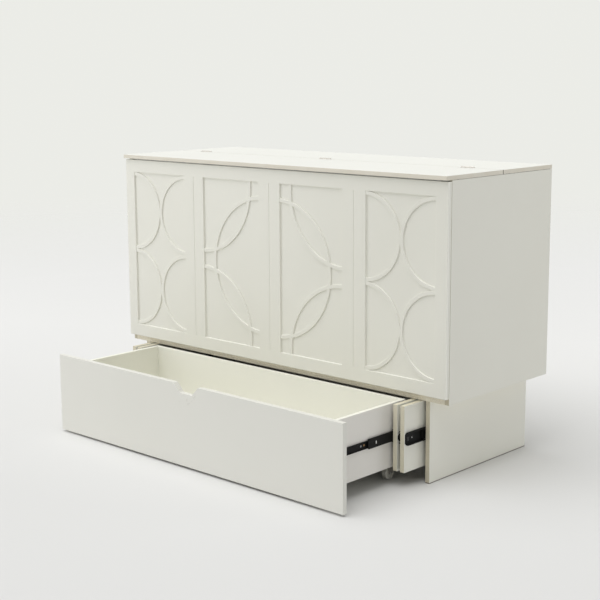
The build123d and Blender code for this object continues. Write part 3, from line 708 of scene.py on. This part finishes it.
def placePiece(name, mesh, finish, body):
    mesh.materials.append(finish)
    made = bpy.data.objects.new(name, mesh)
    bpy.context.scene.collection.objects.link(made)
    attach(made, body)
    return made


# grids of points, each a closed surface, in one mesh
def meshPiece(name, grids, finish, body):
    faces = []
    start = 0
    for grid in grids:
        faces.append(gridFaces(grid.shape[0], grid.shape[1], start))
        start += grid.shape[0] * grid.shape[1]
    points = np.concatenate([grid.reshape(-1, 3) for grid in grids])
    mesh = meshFrom(name, points, np.concatenate(faces))
    mesh.update()
    mesh.validate()
    closeSeams(mesh)
    return placePiece(name, mesh, finish, body)


# two directions square to a unit axis
def crossAxes(axis):
    axis = np.asarray(axis, float)
    helper = np.array([0, 0, 1.0]) if abs(axis[2]) < 0.9 else np.array([1.0, 0, 0])
    side = np.cross(axis, helper)
    side /= np.linalg.norm(side)
    return axis, side, np.cross(axis, side)


# shares of the head's radius and height, apart from the counts and the turn
screwLook = {
    "rows": 6,
    "columns": 24,
    "arms": 4,
    "armSlope": 1.5,
    "armLevel": 0.3,
    "domeFall": 0.98,
    "turnEach": 0.37,
    "recess": 0.5,
    "recessMiddle": 0.2,
    "recessSlope": 12,
    "recessDepth": 0.45,
    "rim": 0.45,
}


# a screw head: a rim, and on it a dome whose height is the root of one less the radius squared;
# a recess goes down where the cosine of four times the angle is high, and round the middle
def screwHead(centre, axis, radius, height, turnBy=0.0):
    axis, side, up = crossAxes(axis)
    angle = np.linspace(0, 2 * np.pi, screwLook["columns"], endpoint=False)[None, :]
    share = np.linspace(0, 1, screwLook["rows"])[:, None]
    star = np.cos(screwLook["arms"] * (angle + turnBy))
    arms = np.clip(screwLook["armSlope"] * star - screwLook["armLevel"], 0, 1)
    inside = np.clip((screwLook["recess"] - share) * screwLook["recessSlope"], 0, 1)
    middle = np.clip((screwLook["recessMiddle"] - share) * screwLook["recessSlope"], 0, 1)
    dome = (1 - screwLook["rim"]) * np.sqrt(1 - screwLook["domeFall"] * share ** 2)
    sunk = screwLook["recessDepth"] * np.maximum(arms * inside, middle)
    rise = height * (screwLook["rim"] + dome - sunk)
    reach = np.broadcast_to(share * radius, rise.shape)
    rise = np.vstack([rise, np.zeros_like(rise[:1]), np.zeros_like(rise[:1])])
    reach = np.vstack([reach, reach[-1:], np.zeros_like(reach[:1])])
    angle = np.broadcast_to(angle, rise.shape)[..., None]
    around = np.cos(angle) * side + np.sin(angle) * up
    return np.asarray(centre) + reach[..., None] * around + rise[..., None] * axis


# outer and inner members carry screws through their webs, facing into the slide
slideLook = {
    "sheet": 0.0012,
    "thickness": 0.0127,
    "webOffset": 0.0065,
    "screwRadius": 0.0040,
    "screwHeight": 0.0018,
    "innerStations": (0.167, 0.183),
    "endStation": 0.037,
    "outerTurn": 0.3,
    "innerTurn": 0.5,
}
slideStages = (
    ("outer_carriage_base_channels", "base_slide_rails", "outer_carriage", "cabinet", 1),
    ("outer_carriage_channels", "inner_carriage_rails", "outer_carriage", "inner_carriage", -1),
    ("inner_carriage_channels", "drawer_slide_rails", "inner_carriage", "drawer", -1),
)


def slideScrews(look):
    head = look["screwRadius"], look["screwHeight"]
    for channels, rails, channelBody, railBody, side in slideStages:
        low, high = boxOf(channels)
        level = (low[2] + high[2]) / 2
        length = high[1] - low[1]
        face = (high[0] - look["thickness"] if side > 0 else high[0]) + side * look["sheet"]
        stations = (look["endStation"], length / 2, length - look["endStation"])
        heads = [
            screwHead((s * face, low[1] + y, level), (s * side, 0, 0), *head, look["outerTurn"] * k)
            for s in (-1, 1) for k, y in enumerate(stations)
        ]
        meshPiece(channels + "_screws", heads, zincPlate, channelBody)
        low, high = boxOf(rails)
        length = high[1] - low[1]
        face = (high[0] if side > 0 else high[0] - look["webOffset"]) - side * look["sheet"]
        stations = (*look["innerStations"], length - look["endStation"])
        heads = [
            screwHead((s * face, low[1] + y, level), (-s * side, 0, 0), *head, look["innerTurn"] * k)
            for s in (-1, 1) for k, y in enumerate(stations)
        ]
        # the second screw from the front of each rail is brass
        brass = heads[1::len(stations)]
        steel = [head for k, head in enumerate(heads) if k % len(stations) != 1]
        meshPiece(rails + "_screws", steel, dullPlate, railBody)
        meshPiece(rails + "_brass_screws", brass, brassPlate, railBody)


slideScrews(slideLook)


# steel balls held by the cages: two strips between outer and middle, two inside the middle
cageLook = {
    "length": 0.150,
    "endInset": 0.008,
    "ballsPerStrip": 10,
    "ballRows": 7,
    "ballColumns": 8,
    "outerRadius": 0.00185,
    "innerRadius": 0.00160,
    "outerLevel": 0.0194,
    "innerLevel": 0.01465,
    "outerDepth": 0.0079,
    "innerDepth": 0.0081,
    "nearDepth": 0.0040,
    "farDepth": 0.0094,
}
cageStages = (
    ("base_slide_cages", "base_slide_middle", 1),
    ("carriage_slide_cages", "carriage_slide_middle", -1),
    ("drawer_slide_cages", "drawer_slide_middle", -1),
)


# a ball: rings round the upright, as wide as the sine of a tilt and as low as its cosine
def ball(centre, radius, look):
    tilt = np.linspace(0, np.pi, look["ballRows"])[:, None]
    angle = np.linspace(0, 2 * np.pi, look["ballColumns"], endpoint=False)
    around = [-np.sin(tilt) * np.sin(angle), np.sin(tilt) * np.cos(angle)]
    return np.array(centre) + radius * np.stack([*around, -np.cos(tilt) + 0 * angle], -1)


def cageBalls(look):
    for cages, body, side in cageStages:
        low, high = boxOf(cages)
        level = (low[2] + high[2]) / 2
        face = high[0] - look["farDepth"] if side > 0 else high[0] + look["nearDepth"]
        front = low[1]
        rear = high[1] - look["length"]
        starts = (front, rear) if side > 0 else (rear, front)
        strips = (
            (starts[0], look["outerLevel"], look["outerDepth"], look["outerRadius"]),
            (starts[1], look["innerLevel"], look["innerDepth"], look["innerRadius"]),
        )
        reach = look["length"] - 2 * look["endInset"]
        along = np.linspace(0, reach, look["ballsPerStrip"]) + look["endInset"]
        balls = [
            ball((s * (face + side * depth), start + y, level + up * rise), radius, look)
            for start, rise, depth, radius in strips
            for s in (-1, 1) for up in (-1, 1) for y in along
        ]
        meshPiece(cages.replace("cages", "balls"), balls, zincPlate, body)


cageBalls(cageLook)


# a block whose edges are rounded to one radius: a ball of that radius, its eight parts moved apart
def roundedBlock(half, radius, rows, columns):
    tilt = (np.arange(rows) + 0.5) / rows * np.pi
    turn = (np.arange(columns) + 0.5) / columns * 2 * np.pi
    tilt, turn = np.meshgrid(tilt, turn, indexing="ij")
    toward = np.stack([np.sin(tilt) * np.cos(turn), np.sin(tilt) * np.sin(turn), np.cos(tilt)], -1)
    return np.sign(toward) * (half - radius) + radius * toward


# a small rounded block, both its ends drawn together to a point so that the grid is closed
def smallBlock(centre, look):
    half = look["half"]
    grid = roundedBlock(np.array(half), look["roundness"] * min(half), *look["grid"])
    ends = [np.broadcast_to(row.mean(axis=0), row.shape)[None] for row in (grid[0], grid[-1])]
    return np.asarray(centre) + np.concatenate([ends[0], grid, ends[1]])


# a stop tab is pressed out of the drawer slide's middle member near its front end
tabLook = {
    "fromFront": 0.041,
    "half": (0.0005, 0.0016, 0.0050),
    "roundness": 0.35,
    "grid": (6, 12),
}


def slideTabs(look):
    low, high = boxOf("drawer_slide_middles")
    level = (low[2] + high[2]) / 2
    places = [(s * (high[0] + look["half"][0]), low[1] + look["fromFront"], level) for s in (-1, 1)]
    tabs = [smallBlock(place, look) for place in places]
    meshPiece("drawer_slide_tabs", tabs, brightZinc, "drawer_slide_middle")


slideTabs(tabLook)


# a soft buffer stops the middle member at the front end of each outermost channel
bufferLook = {
    "fromFront": 0.0125,
    "offWeb": 0.0040,
    "half": (0.0026, 0.0050, 0.0070),
    "roundness": 0.8,
    "grid": (6, 12),
}


def slideBuffers(look):
    channels = slideStages[0][0]
    low, high = boxOf(channels)
    x = high[0] - slideLook["thickness"] + look["offWeb"]
    level = (low[2] + high[2]) / 2
    places = [(s * x, low[1] + look["fromFront"], level) for s in (-1, 1)]
    buffers = [smallBlock(place, look) for place in places]
    meshPiece("base_slide_buffers", buffers, rubber, "outer_carriage")


slideBuffers(bufferLook)
print("slides done")


# each head is a radius and a height; insets are measured from the edge that the screws follow
fixingLook = {
    "lidHingeHalf": 0.0275,
    "lidScrewX": (-0.0195, 0.0, 0.0195),
    "lidScrewY": 0.0130,
    "lidHead": (0.0026, 0.0006),
    "deckKnuckles": 13,
    "deckInset": 0.0034,
    "deckHead": (0.0019, 0.0004),
    "pivotHead": (0.0038, 0.0016),
    "pivotInset": 0.0075,
    "pivotSheet": 0.003,
    "catchInset": 0.006,
    "catchHead": (0.0026, 0.0003),
    "rivetOut": 0.013,
    "rivetHead": (0.0044, 0.0014),
    "backHead": (0.0036, 0.0013),
    "backInset": 0.0045,
    "backEnds": 0.06,
    "backFoot": 0.12,
    "backScrews": (8, 5),
    "bearerInset": 0.023,
    "bearerHead": (0.0040, 0.0015),
    "bearerEnd": 0.045,
    "bearerScrews": 4,
}


def fixings(name, places, axis, head, finish, body):
    turn = screwLook["turnEach"]
    heads = [screwHead(place, axis, *head, turn * k) for k, place in enumerate(places)]
    meshPiece(name, heads, finish, body)


def hingeFixings(look):
    low, high = boxOf("lid_hinge_pins")
    ends = high[0] - look["lidHingeHalf"]
    top = boxOf("lid_flap")[1][2]
    for side, body, name in ((-1, "lid", "lid_flap_screws"), (1, "cabinet", "rear_board_screws")):
        places = [
            (hinge + x, lidAxisY + side * look["lidScrewY"], top)
            for hinge in (-ends, 0, ends) for x in look["lidScrewX"]
        ]
        fixings(name, places, (0, 0, 1), look["lidHead"], nickelPlate, body)
    low, high = boxOf("deck_hinge_pin")
    pitch = (high[0] - low[0]) / look["deckKnuckles"]
    for side, leaf in ((-1, "deck_hinge_front_leaf"), (1, "deck_hinge_foot_leaf")):
        leafLow, leafHigh = boxOf(leaf)
        y = leafLow[1] + look["deckInset"] if side < 0 else leafHigh[1] - look["deckInset"]
        z = (leafLow[2] + leafHigh[2]) / 2
        first = 0 if side < 0 else 1
        places = [
            (low[0] + (k + 0.5) * pitch, y, z) for k in range(first, look["deckKnuckles"], 2)
        ]
        fixings(leaf + "_screws", places, (0, 0, 1), look["deckHead"], zincPlate, "front")


def plateFixings(look):
    low, high = boxOf("pivot_plates")
    floorTop = boxOf("floor_panel")[1][2]
    inset = look["pivotInset"]
    ends = high[0] - 2 * inset
    footFront = boxOf("deck_slats")[0][1]
    rows = (footFront + inset, high[1] - inset)
    places = [
        (pivot + side * inset, y, floorTop + look["pivotSheet"])
        for pivot in (-ends, 0, ends) for side in (-1, 1) for y in rows
    ]
    fixings("pivot_plate_screws", places, (0, 0, 1), look["pivotHead"], zincPlate, "cabinet")
    low, high = boxOf("catch_plates")
    inset = look["catchInset"]
    places = [
        (side * (high[0] - inset), high[1], z)
        for side in (-1, 1) for z in (low[2] + inset, high[2] - inset)
    ]
    fixings("catch_plate_screws", places, (0, 1, 0), look["catchHead"], zincPlate, "front")


def boardFixings(look):
    low, high = boxOf("back_panel")
    ends = look["backEnds"]
    across = np.linspace(low[0] + ends, high[0] - ends, look["backScrews"][0])
    up = np.linspace(low[2] + look["backFoot"], high[2] - ends, look["backScrews"][1])
    inset = look["backInset"]
    places = [(x, high[1], low[2] + 2 * inset) for x in across]
    places += [(side * (high[0] - inset), high[1], z) for side in (-1, 1) for z in up]
    fixings("back_panel_screws", places, (0, 1, 0), look["backHead"], zincPlate, "cabinet")
    low, high = boxOf("foot_bearers")
    middle = high[0] - look["bearerInset"]
    heights = np.linspace(
        low[2] + look["bearerEnd"], high[2] - look["bearerEnd"], look["bearerScrews"]
    )
    places = [(side * middle, high[1], z) for side in (-1, 1) for z in heights]
    fixings("foot_bearer_screws", places, (0, 1, 0), look["bearerHead"], zincPlate, "front")


def axleRivets(look):
    for wheel in wheelNames:
        low, high = boxOf(wheel)
        middle = (low + high) / 2
        out = np.array([look["rivetOut"], 0, 0])
        heads = [
            screwHead(middle + side * out, (side, 0, 0), *look["rivetHead"]) for side in (-1, 1)
        ]
        meshPiece(wheel + "_rivets", heads, zincPlate, "drawer")


hingeFixings(fixingLook)
plateFixings(fixingLook)
boardFixings(fixingLook)
axleRivets(fixingLook)
print("fixings done")


# the mattress stands folded in three: one pad is sewn, blown up and quilted, then laid three times
mattressLook = {
    "inset": 0.008,
    "cornerRadius": 0.018,
    "gridRows": 26,
    "gridColumns": 48,
    "voxel": 0.012,
    "pullIn": (0.0035, 0.006),
    "broadFrom": 0.008,
    "sewnShare": 0.6,
    "rimWidth": (0.012, 0.018, 0.014),
    "pressure": 13.0,
    "quality": 4,
    "frames": 12,
    "cap": 0.007,
    "quiltDepth": 0.0045,
    "quiltWidth": 0.007,
    "quiltFade": (0.016, 0.008),
    "borderLines": 0.022,
    "borderDepth": 0.0020,
    "borderWidth": 0.004,
    "borderFade": (0.014, 0.006),
    "endFade": (0.018, 0.008),
    "underside": 0.0003,
    "fill": 0.75,
    "seamAngle": 0.785,
    "pipingRadius": 0.003,
    "pipingProud": 0.0012,
    "pipingPoints": 10,
    "cornerPoints": 8,
    "sidePoints": 60,
}
mattressNodes = ("mattress_front_section", "mattress_middle_section", "mattress_rear_section")


# each side curves in between its corners: the pull is greatest halfway along
def pulledIn(points, half, pull):
    x, y, z = points[..., 0], points[..., 1], points[..., 2]
    narrower = 1 - pull[0] * np.clip(1 - (z / half[2]) ** 2, 0, 1)
    shorter = 1 - pull[1] * np.clip(1 - (x / half[0]) ** 2, 0, 1)
    return np.stack([x * narrower, y, z * shorter], -1)


def readPoints(mesh):
    flat = np.empty(len(mesh.vertices) * 3, np.float32)
    mesh.vertices.foreach_get("co", flat)
    return flat.reshape(-1, 3).astype(float)


def writePoints(mesh, points):
    mesh.vertices.foreach_set("co", points.astype(np.float32).ravel())
    mesh.update()


# the mesh that an object's modifiers make, with none of them left on it
def applied(made):
    graph = bpy.context.evaluated_depsgraph_get()
    mesh = bpy.data.meshes.new_from_object(made.evaluated_get(graph))
    made.modifiers.clear()
    made.data = mesh
    return mesh


# how far each point lies from the nearest quilting line, the lines crossing in diamonds
def fromQuilting(points):
    rising = (points[:, 0] + points[:, 2]) / quiltPitch
    falling = (points[:, 0] - points[:, 2]) / quiltPitch
    nearest = np.minimum(abs(rising - np.round(rising)), abs(falling - np.round(falling)))
    return nearest * quiltPitch / math.sqrt(2)


# cloth is blown up under pressure, held along the quilting lines and round both rims
def blownUp(made, half, look):
    start = readPoints(made.data)
    broad = abs(start[:, 1]) > half[1] - look["broadFrom"]
    sewn = broad & (fromQuilting(start) < look["sewnShare"] * look["voxel"])
    atEnd, atFace, atTop = (abs(start) > half - look["rimWidth"]).T
    held = sewn | (atFace & (atEnd | atTop))
    group = made.vertex_groups.new(name="pins")
    group.add(np.nonzero(held)[0].tolist(), 1.0, "ADD")
    cloth = made.modifiers.new("cloth", "CLOTH")
    cloth.settings.vertex_group_mass = "pins"
    cloth.settings.use_pressure = True
    cloth.settings.uniform_pressure_force = look["pressure"]
    cloth.settings.effector_weights.gravity = 0
    cloth.settings.quality = look["quality"]
    cloth.collision_settings.use_collision = False
    cloth.point_cache.frame_start = 1
    cloth.point_cache.frame_end = look["frames"]
    for step in range(1, look["frames"] + 1):
        bpy.context.scene.frame_set(step)
    swollen = readPoints(applied(made))
    bpy.context.scene.frame_set(1)
    moved = swollen - start
    length = np.linalg.norm(moved, axis=1)
    share = np.minimum(1, look["cap"] / np.maximum(length, 1e-9))
    print("pad swells by at most", round(float(length.max()) * millimetres, 1), "mm")
    writePoints(made.data, start + moved * share[:, None])


# 0 further in than the first width below a face, 1 a second width nearer to it, straight between
def nearFace(places, half, fade):
    return np.clip((abs(places) - half + fade[0]) / fade[1], 0, 1)


# sewn lines press in: depth falls off as a bell curve of the distance from the line
def stitched(points, half, look):
    broad = nearFace(points[:, 1], half[1], look["quiltFade"])
    press = look["quiltDepth"] * np.exp(-((fromQuilting(points) / look["quiltWidth"]) ** 2)) * broad
    points[:, 1] -= np.sign(points[:, 1]) * press
    start, width = look["borderFade"]
    border = np.clip((half[1] - start - abs(points[:, 1])) / width, 0, 1)
    rib = abs(abs(points[:, 1]) - look["borderLines"])
    press = look["borderDepth"] * np.exp(-((rib / look["borderWidth"]) ** 2)) * border
    ends = nearFace(points[:, 0], half[0], look["endFade"])
    tops = nearFace(points[:, 2], half[2], look["endFade"])
    points[:, 0] -= np.sign(points[:, 0]) * press * ends
    points[:, 2] -= np.sign(points[:, 2]) * press * tops
    return points


# one pad: a rounded block made an even net, pulled in, blown up, smoothed and quilted
def sewnPad(cadHalf, look):
    half = cadHalf - look["inset"]
    rows, columns = look["gridRows"], look["gridColumns"]
    grid = roundedBlock(half, look["cornerRadius"], rows, columns)
    quads = gridFaces(rows, columns).tolist()
    caps = [list(range(columns))[::-1], list(range((rows - 1) * columns, rows * columns))]
    mesh = bpy.data.meshes.new("pad")
    mesh.from_pydata(grid.reshape(-1, 3).tolist(), [], quads + caps)
    made = bpy.data.objects.new("pad", mesh)
    bpy.context.scene.collection.objects.link(made)
    remesh = made.modifiers.new("remesh", "REMESH")
    remesh.mode = "VOXEL"
    remesh.voxel_size = look["voxel"]
    mesh = applied(made)
    writePoints(mesh, pulledIn(readPoints(mesh), half, look["pullIn"]))
    blownUp(made, half, look)
    smooth = made.modifiers.new("smooth", "SUBSURF")
    smooth.levels = 1
    smooth.render_levels = 1
    mesh = applied(made)
    points = stitched(readPoints(mesh), half, look)
    points[:, 2] = np.maximum(points[:, 2] - padSettle, look["underside"] - cadHalf[2])
    writePoints(mesh, np.clip(points, -cadHalf, cadHalf))
    mesh.polygons.foreach_set("use_smooth", np.ones(len(mesh.polygons), bool))
    bpy.data.objects.remove(made)
    return mesh


# a cord sewn round both rims of the pad, a closed tube on a rounded rectangle
def pipingGrids(cadHalf, look):
    half = cadHalf - look["inset"]
    corner = half - look["cornerRadius"]
    reach = look["cornerRadius"] + look["pipingProud"]
    out = reach * math.cos(look["seamAngle"])
    corners = np.array([(1, 1), (-1, 1), (-1, -1), (1, -1)]) * corner[[0, 2]]
    path = []
    turn = np.linspace(0, np.pi / 2, look["cornerPoints"])
    share = np.linspace(0, 1, look["sidePoints"])[1:-1, None]
    for k, (middle, onward) in enumerate(zip(corners, np.roll(corners, -1, axis=0))):
        heading = turn + k * np.pi / 2
        arc = middle + out * np.stack([np.cos(heading), np.sin(heading)], -1)
        path += [arc, arc[-1] + share * (onward - middle)]
    path = np.concatenate(path)
    flat = np.stack([path[:, 0], 0 * path[:, 0], path[:, 1]], -1)
    flat = pulledIn(flat, half, look["pullIn"])
    flat[:, 2] -= padSettle
    ahead = np.roll(flat, -1, axis=0) - np.roll(flat, 1, axis=0)
    ahead /= np.linalg.norm(ahead, axis=1)[:, None]
    outward = np.cross(ahead, [0, 1.0, 0])
    angle = np.linspace(0, 2 * np.pi, look["pipingPoints"], endpoint=False)[None, :, None]
    tube = look["pipingRadius"] * (
        np.cos(angle) * outward[:, None, :] + np.sin(angle) * np.array([0, 1.0, 0])
    )
    loop = flat[:, None, :] + tube
    loop = np.concatenate([loop, loop[:1]])
    rise = corner[1] + reach * math.sin(look["seamAngle"])
    return [loop + np.array([0, side * rise, 0]) for side in (-1, 1)]


def layMattress(look):
    low, high = boxOf(mattressNodes[0])
    cadHalf = (high - low) / 2
    pad = sewnPad(cadHalf, look)
    local = readPoints(pad)
    cords = pipingGrids(cadHalf, look)
    pads = []
    for node in mattressNodes:
        low, high = boxOf(node)
        middle = (low + high) / 2
        mesh = pad.copy()
        mesh.name = node
        writePoints(mesh, local + middle)
        name = node.replace("section", "pad")
        made = placePiece(name, mesh, ticking, "cabinet")
        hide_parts(node)
        pads.append(made)
        loops = [loop + middle for loop in cords]
        meshPiece(name + "_piping", loops, pipingCord, "cabinet")
    return pads, local


hingeClothLook = {
    "halfWidth": 0.715,
    "reach": 0.052,
    "thickness": 0.0009,
    "dip": 0.010,
    "dipWidth": 0.012,
    "lift": 0.0006,
    "topBand": 0.02,
    "restReach": 0.011,
    "rows": 41,
    "columns": 181,
}


# a strip of ticking sewn over the fold joins the front and middle pads: it lies as high as the
# highest pad point near it, and sags between them in a bell curve
def foldStrip(local, look):
    front, middle = (boxOf(node) for node in mattressNodes[:2])
    fold = (front[1][1] + middle[0][1]) / 2
    tops = local[local[:, 2] > local[:, 2].max() - look["topBand"]]
    tops = np.concatenate([tops + (low + high) / 2 for low, high in (front, middle)])
    across = np.linspace(-look["reach"], look["reach"], look["rows"])
    along = np.linspace(-look["halfWidth"], look["halfWidth"], look["columns"])
    y, x = np.meshgrid(fold + across, along, indexing="ij")
    apart = (x.reshape(-1, 1) - tops[:, 0]) ** 2 + (y.reshape(-1, 1) - tops[:, 1]) ** 2
    near = np.where(apart < look["restReach"] ** 2, tops[:, 2], -np.inf).max(axis=1)
    near = near.reshape(x.shape)
    level = np.median(near[np.isfinite(near)])
    trough = level - look["dip"] * np.exp(-((y - fold) / look["dipWidth"]) ** 2)
    height = np.maximum(near, trough) + look["lift"]
    upper = np.stack([x, y, height + look["thickness"]], -1)
    lower = np.stack([x, y, height], -1)
    # closed ring of columns: over the top from one side to the other, back underneath
    ring = np.concatenate([upper, lower[:, ::-1]], axis=1)
    hem = (upper + lower) / 2
    first, last = (np.concatenate([hem[row], hem[row][::-1]])[None] for row in (0, -1))
    strip = np.concatenate([first, ring, last])
    made = meshPiece("mattress_fold_strip", [strip], pipingCord, "cabinet")


mattressPads, padPoints = layMattress(mattressLook)
foldStrip(padPoints, hingeClothLook)
print("mattress done")


studioLook = {
    # painted light: the floor is darker towards the front and right and paler towards the back and
    # left
    "floorLightTones": ((0.0, (0.70, 0.70, 0.692)), (1.0, (0.785, 0.785, 0.775))),
    "floorHole": 0.01,
    "floorRadius": 9.0,
    "floorFade": 4.0,
    "floorRings": 24,
    "floorSides": 96,
    "floorShine": {"Roughness": 0.9, "Specular IOR Level": 0.1},
    "floorCloud": (0.7, 3),
    "floorLightSlope": (0.3, 0.5, 0.3),
    "floorRange": (-0.6, 1.0),
    "evenTone": (1, 1, 0.98),
    "airTone": (0.835, 0.84, 0.80),
    "airStrength": 0.36,
    "skyAim": (0.11, 0.27, -0.95),
    "skyStrength": 2.24,
    "skySpread": 65,
    "lampsAim": (0, -0.6, 0.4),
    "lamps": (
        ("frontLamp", (-4.4, -4.15, 1.3), 2.8, 57),
        ("sideLamp", (4.7, 3.0, 1.3), 2.7, 37),
    ),
}


# lamps see an even grey air, while the camera and mirrors see the pale wall colour
def studioAir(look):
    world = bpy.data.worlds.new("studioAir")
    bpy.context.scene.world = world
    world.use_nodes = True
    air = Board(world.node_tree)
    air.tree.nodes.remove(air.tree.nodes["Background"])
    light = {"Color": look["evenTone"], "Strength": look["airStrength"]}
    even = air.add("ShaderNodeBackground", {}, light)
    wall = air.add("ShaderNodeBackground", {}, {"Color": look["airTone"]})
    camera, glossy, through = (
        air.add("ShaderNodeLightPath", {}, {}, name)
        for name in ("Is Camera Ray", "Is Glossy Ray", "Is Transmission Ray")
    )
    seen = camera.most(glossy.most(through))
    mixed = air.add("ShaderNodeMixShader", {}, {0: seen, 1: even, 2: wall})
    air.feed(air.tree.nodes["World Output"].inputs["Surface"], mixed)


# a round floor that thins out towards its rim, so it melts into the wall colour; its tone carries
# painted light, paler towards the back and left
def studioFloor(look):
    angle = np.linspace(0, 2 * np.pi, look["floorSides"], endpoint=False)[None, :]
    radius = np.linspace(look["floorHole"], look["floorRadius"], look["floorRings"])[:, None]
    grid = np.stack([radius * np.cos(angle), radius * np.sin(angle), 0 * radius * angle], -1)
    finish = Finish("studioPaper", look["floorShine"])
    cloud = finish.noise(*look["floorCloud"])
    # painted light across the floor, with a random cloud of tone
    left, rear, cloudy = look["floorLightSlope"]
    back = finish.axis("Y") * rear - finish.axis("X") * left + cloud * cloudy
    away = finish.fromPoint((0, 0, 0))
    finish.set({
        "Base Color": finish.colours(finish.step(back, *look["floorRange"]), *look["floorLightTones"]),
        "Alpha": 1 - finish.step(away, look["floorFade"], look["floorRadius"]),
    })
    mesh = bpy.data.meshes.new("studioFloor")
    quads = gridFaces(look["floorRings"], look["floorSides"])
    mesh.from_pydata(grid.reshape(-1, 3).tolist(), [], quads[:, ::-1].tolist())
    mesh.materials.append(finish.material)
    floor = bpy.data.objects.new("studioFloor", mesh)
    bpy.context.scene.collection.objects.link(floor)


# turns a lamp that shines along its own -Z so that it shines along a direction
def aimLamp(lamp, aim):
    yaw = math.atan2(aim[1], aim[0])
    tilt = math.acos(-aim[2] / np.linalg.norm(aim))
    lamp.rotation_euler = (tilt, 0, yaw - math.pi / 2)


def skyLamp(look):
    data = bpy.data.lights.new("skyLamp", "SUN")
    data.energy = look["skyStrength"]
    data.angle = math.radians(look["skySpread"])
    lamp = bpy.data.objects.new("skyLamp", data)
    bpy.context.scene.collection.objects.link(lamp)
    aimLamp(lamp, look["skyAim"])


def softLamps(look):
    for name, place, size, power in look["lamps"]:
        data = bpy.data.lights.new(name, "AREA")
        data.shape = "DISK"
        data.size = size
        data.energy = power
        lamp = bpy.data.objects.new(name, data)
        bpy.context.scene.collection.objects.link(lamp)
        lamp.location = place
        lamp.visible_camera = False
        aimLamp(lamp, np.array(look["lampsAim"]) - np.array(place))


studioAir(studioLook)
studioFloor(studioLook)
skyLamp(studioLook)
softLamps(studioLook)

cameraLook = {
    "place": (3.25196, -3.93865, 1.41602),
    "turn": (1.39877, 0.00529, 0.74716),
    "lens": 76.264,
    "sensor": 36,
    "shift": -14 / 600,
}


def studioCamera(look):
    data = bpy.data.cameras.new("camera")
    data.lens = look["lens"]
    data.sensor_width = look["sensor"]
    data.shift_y = look["shift"]
    camera = bpy.data.objects.new("camera", data)
    bpy.context.scene.collection.objects.link(camera)
    camera.location = look["place"]
    camera.rotation_euler = look["turn"]
    bpy.context.scene.camera = camera


studioCamera(cameraLook)
bpy.context.scene.view_settings.view_transform = "Standard"
print("studio done")
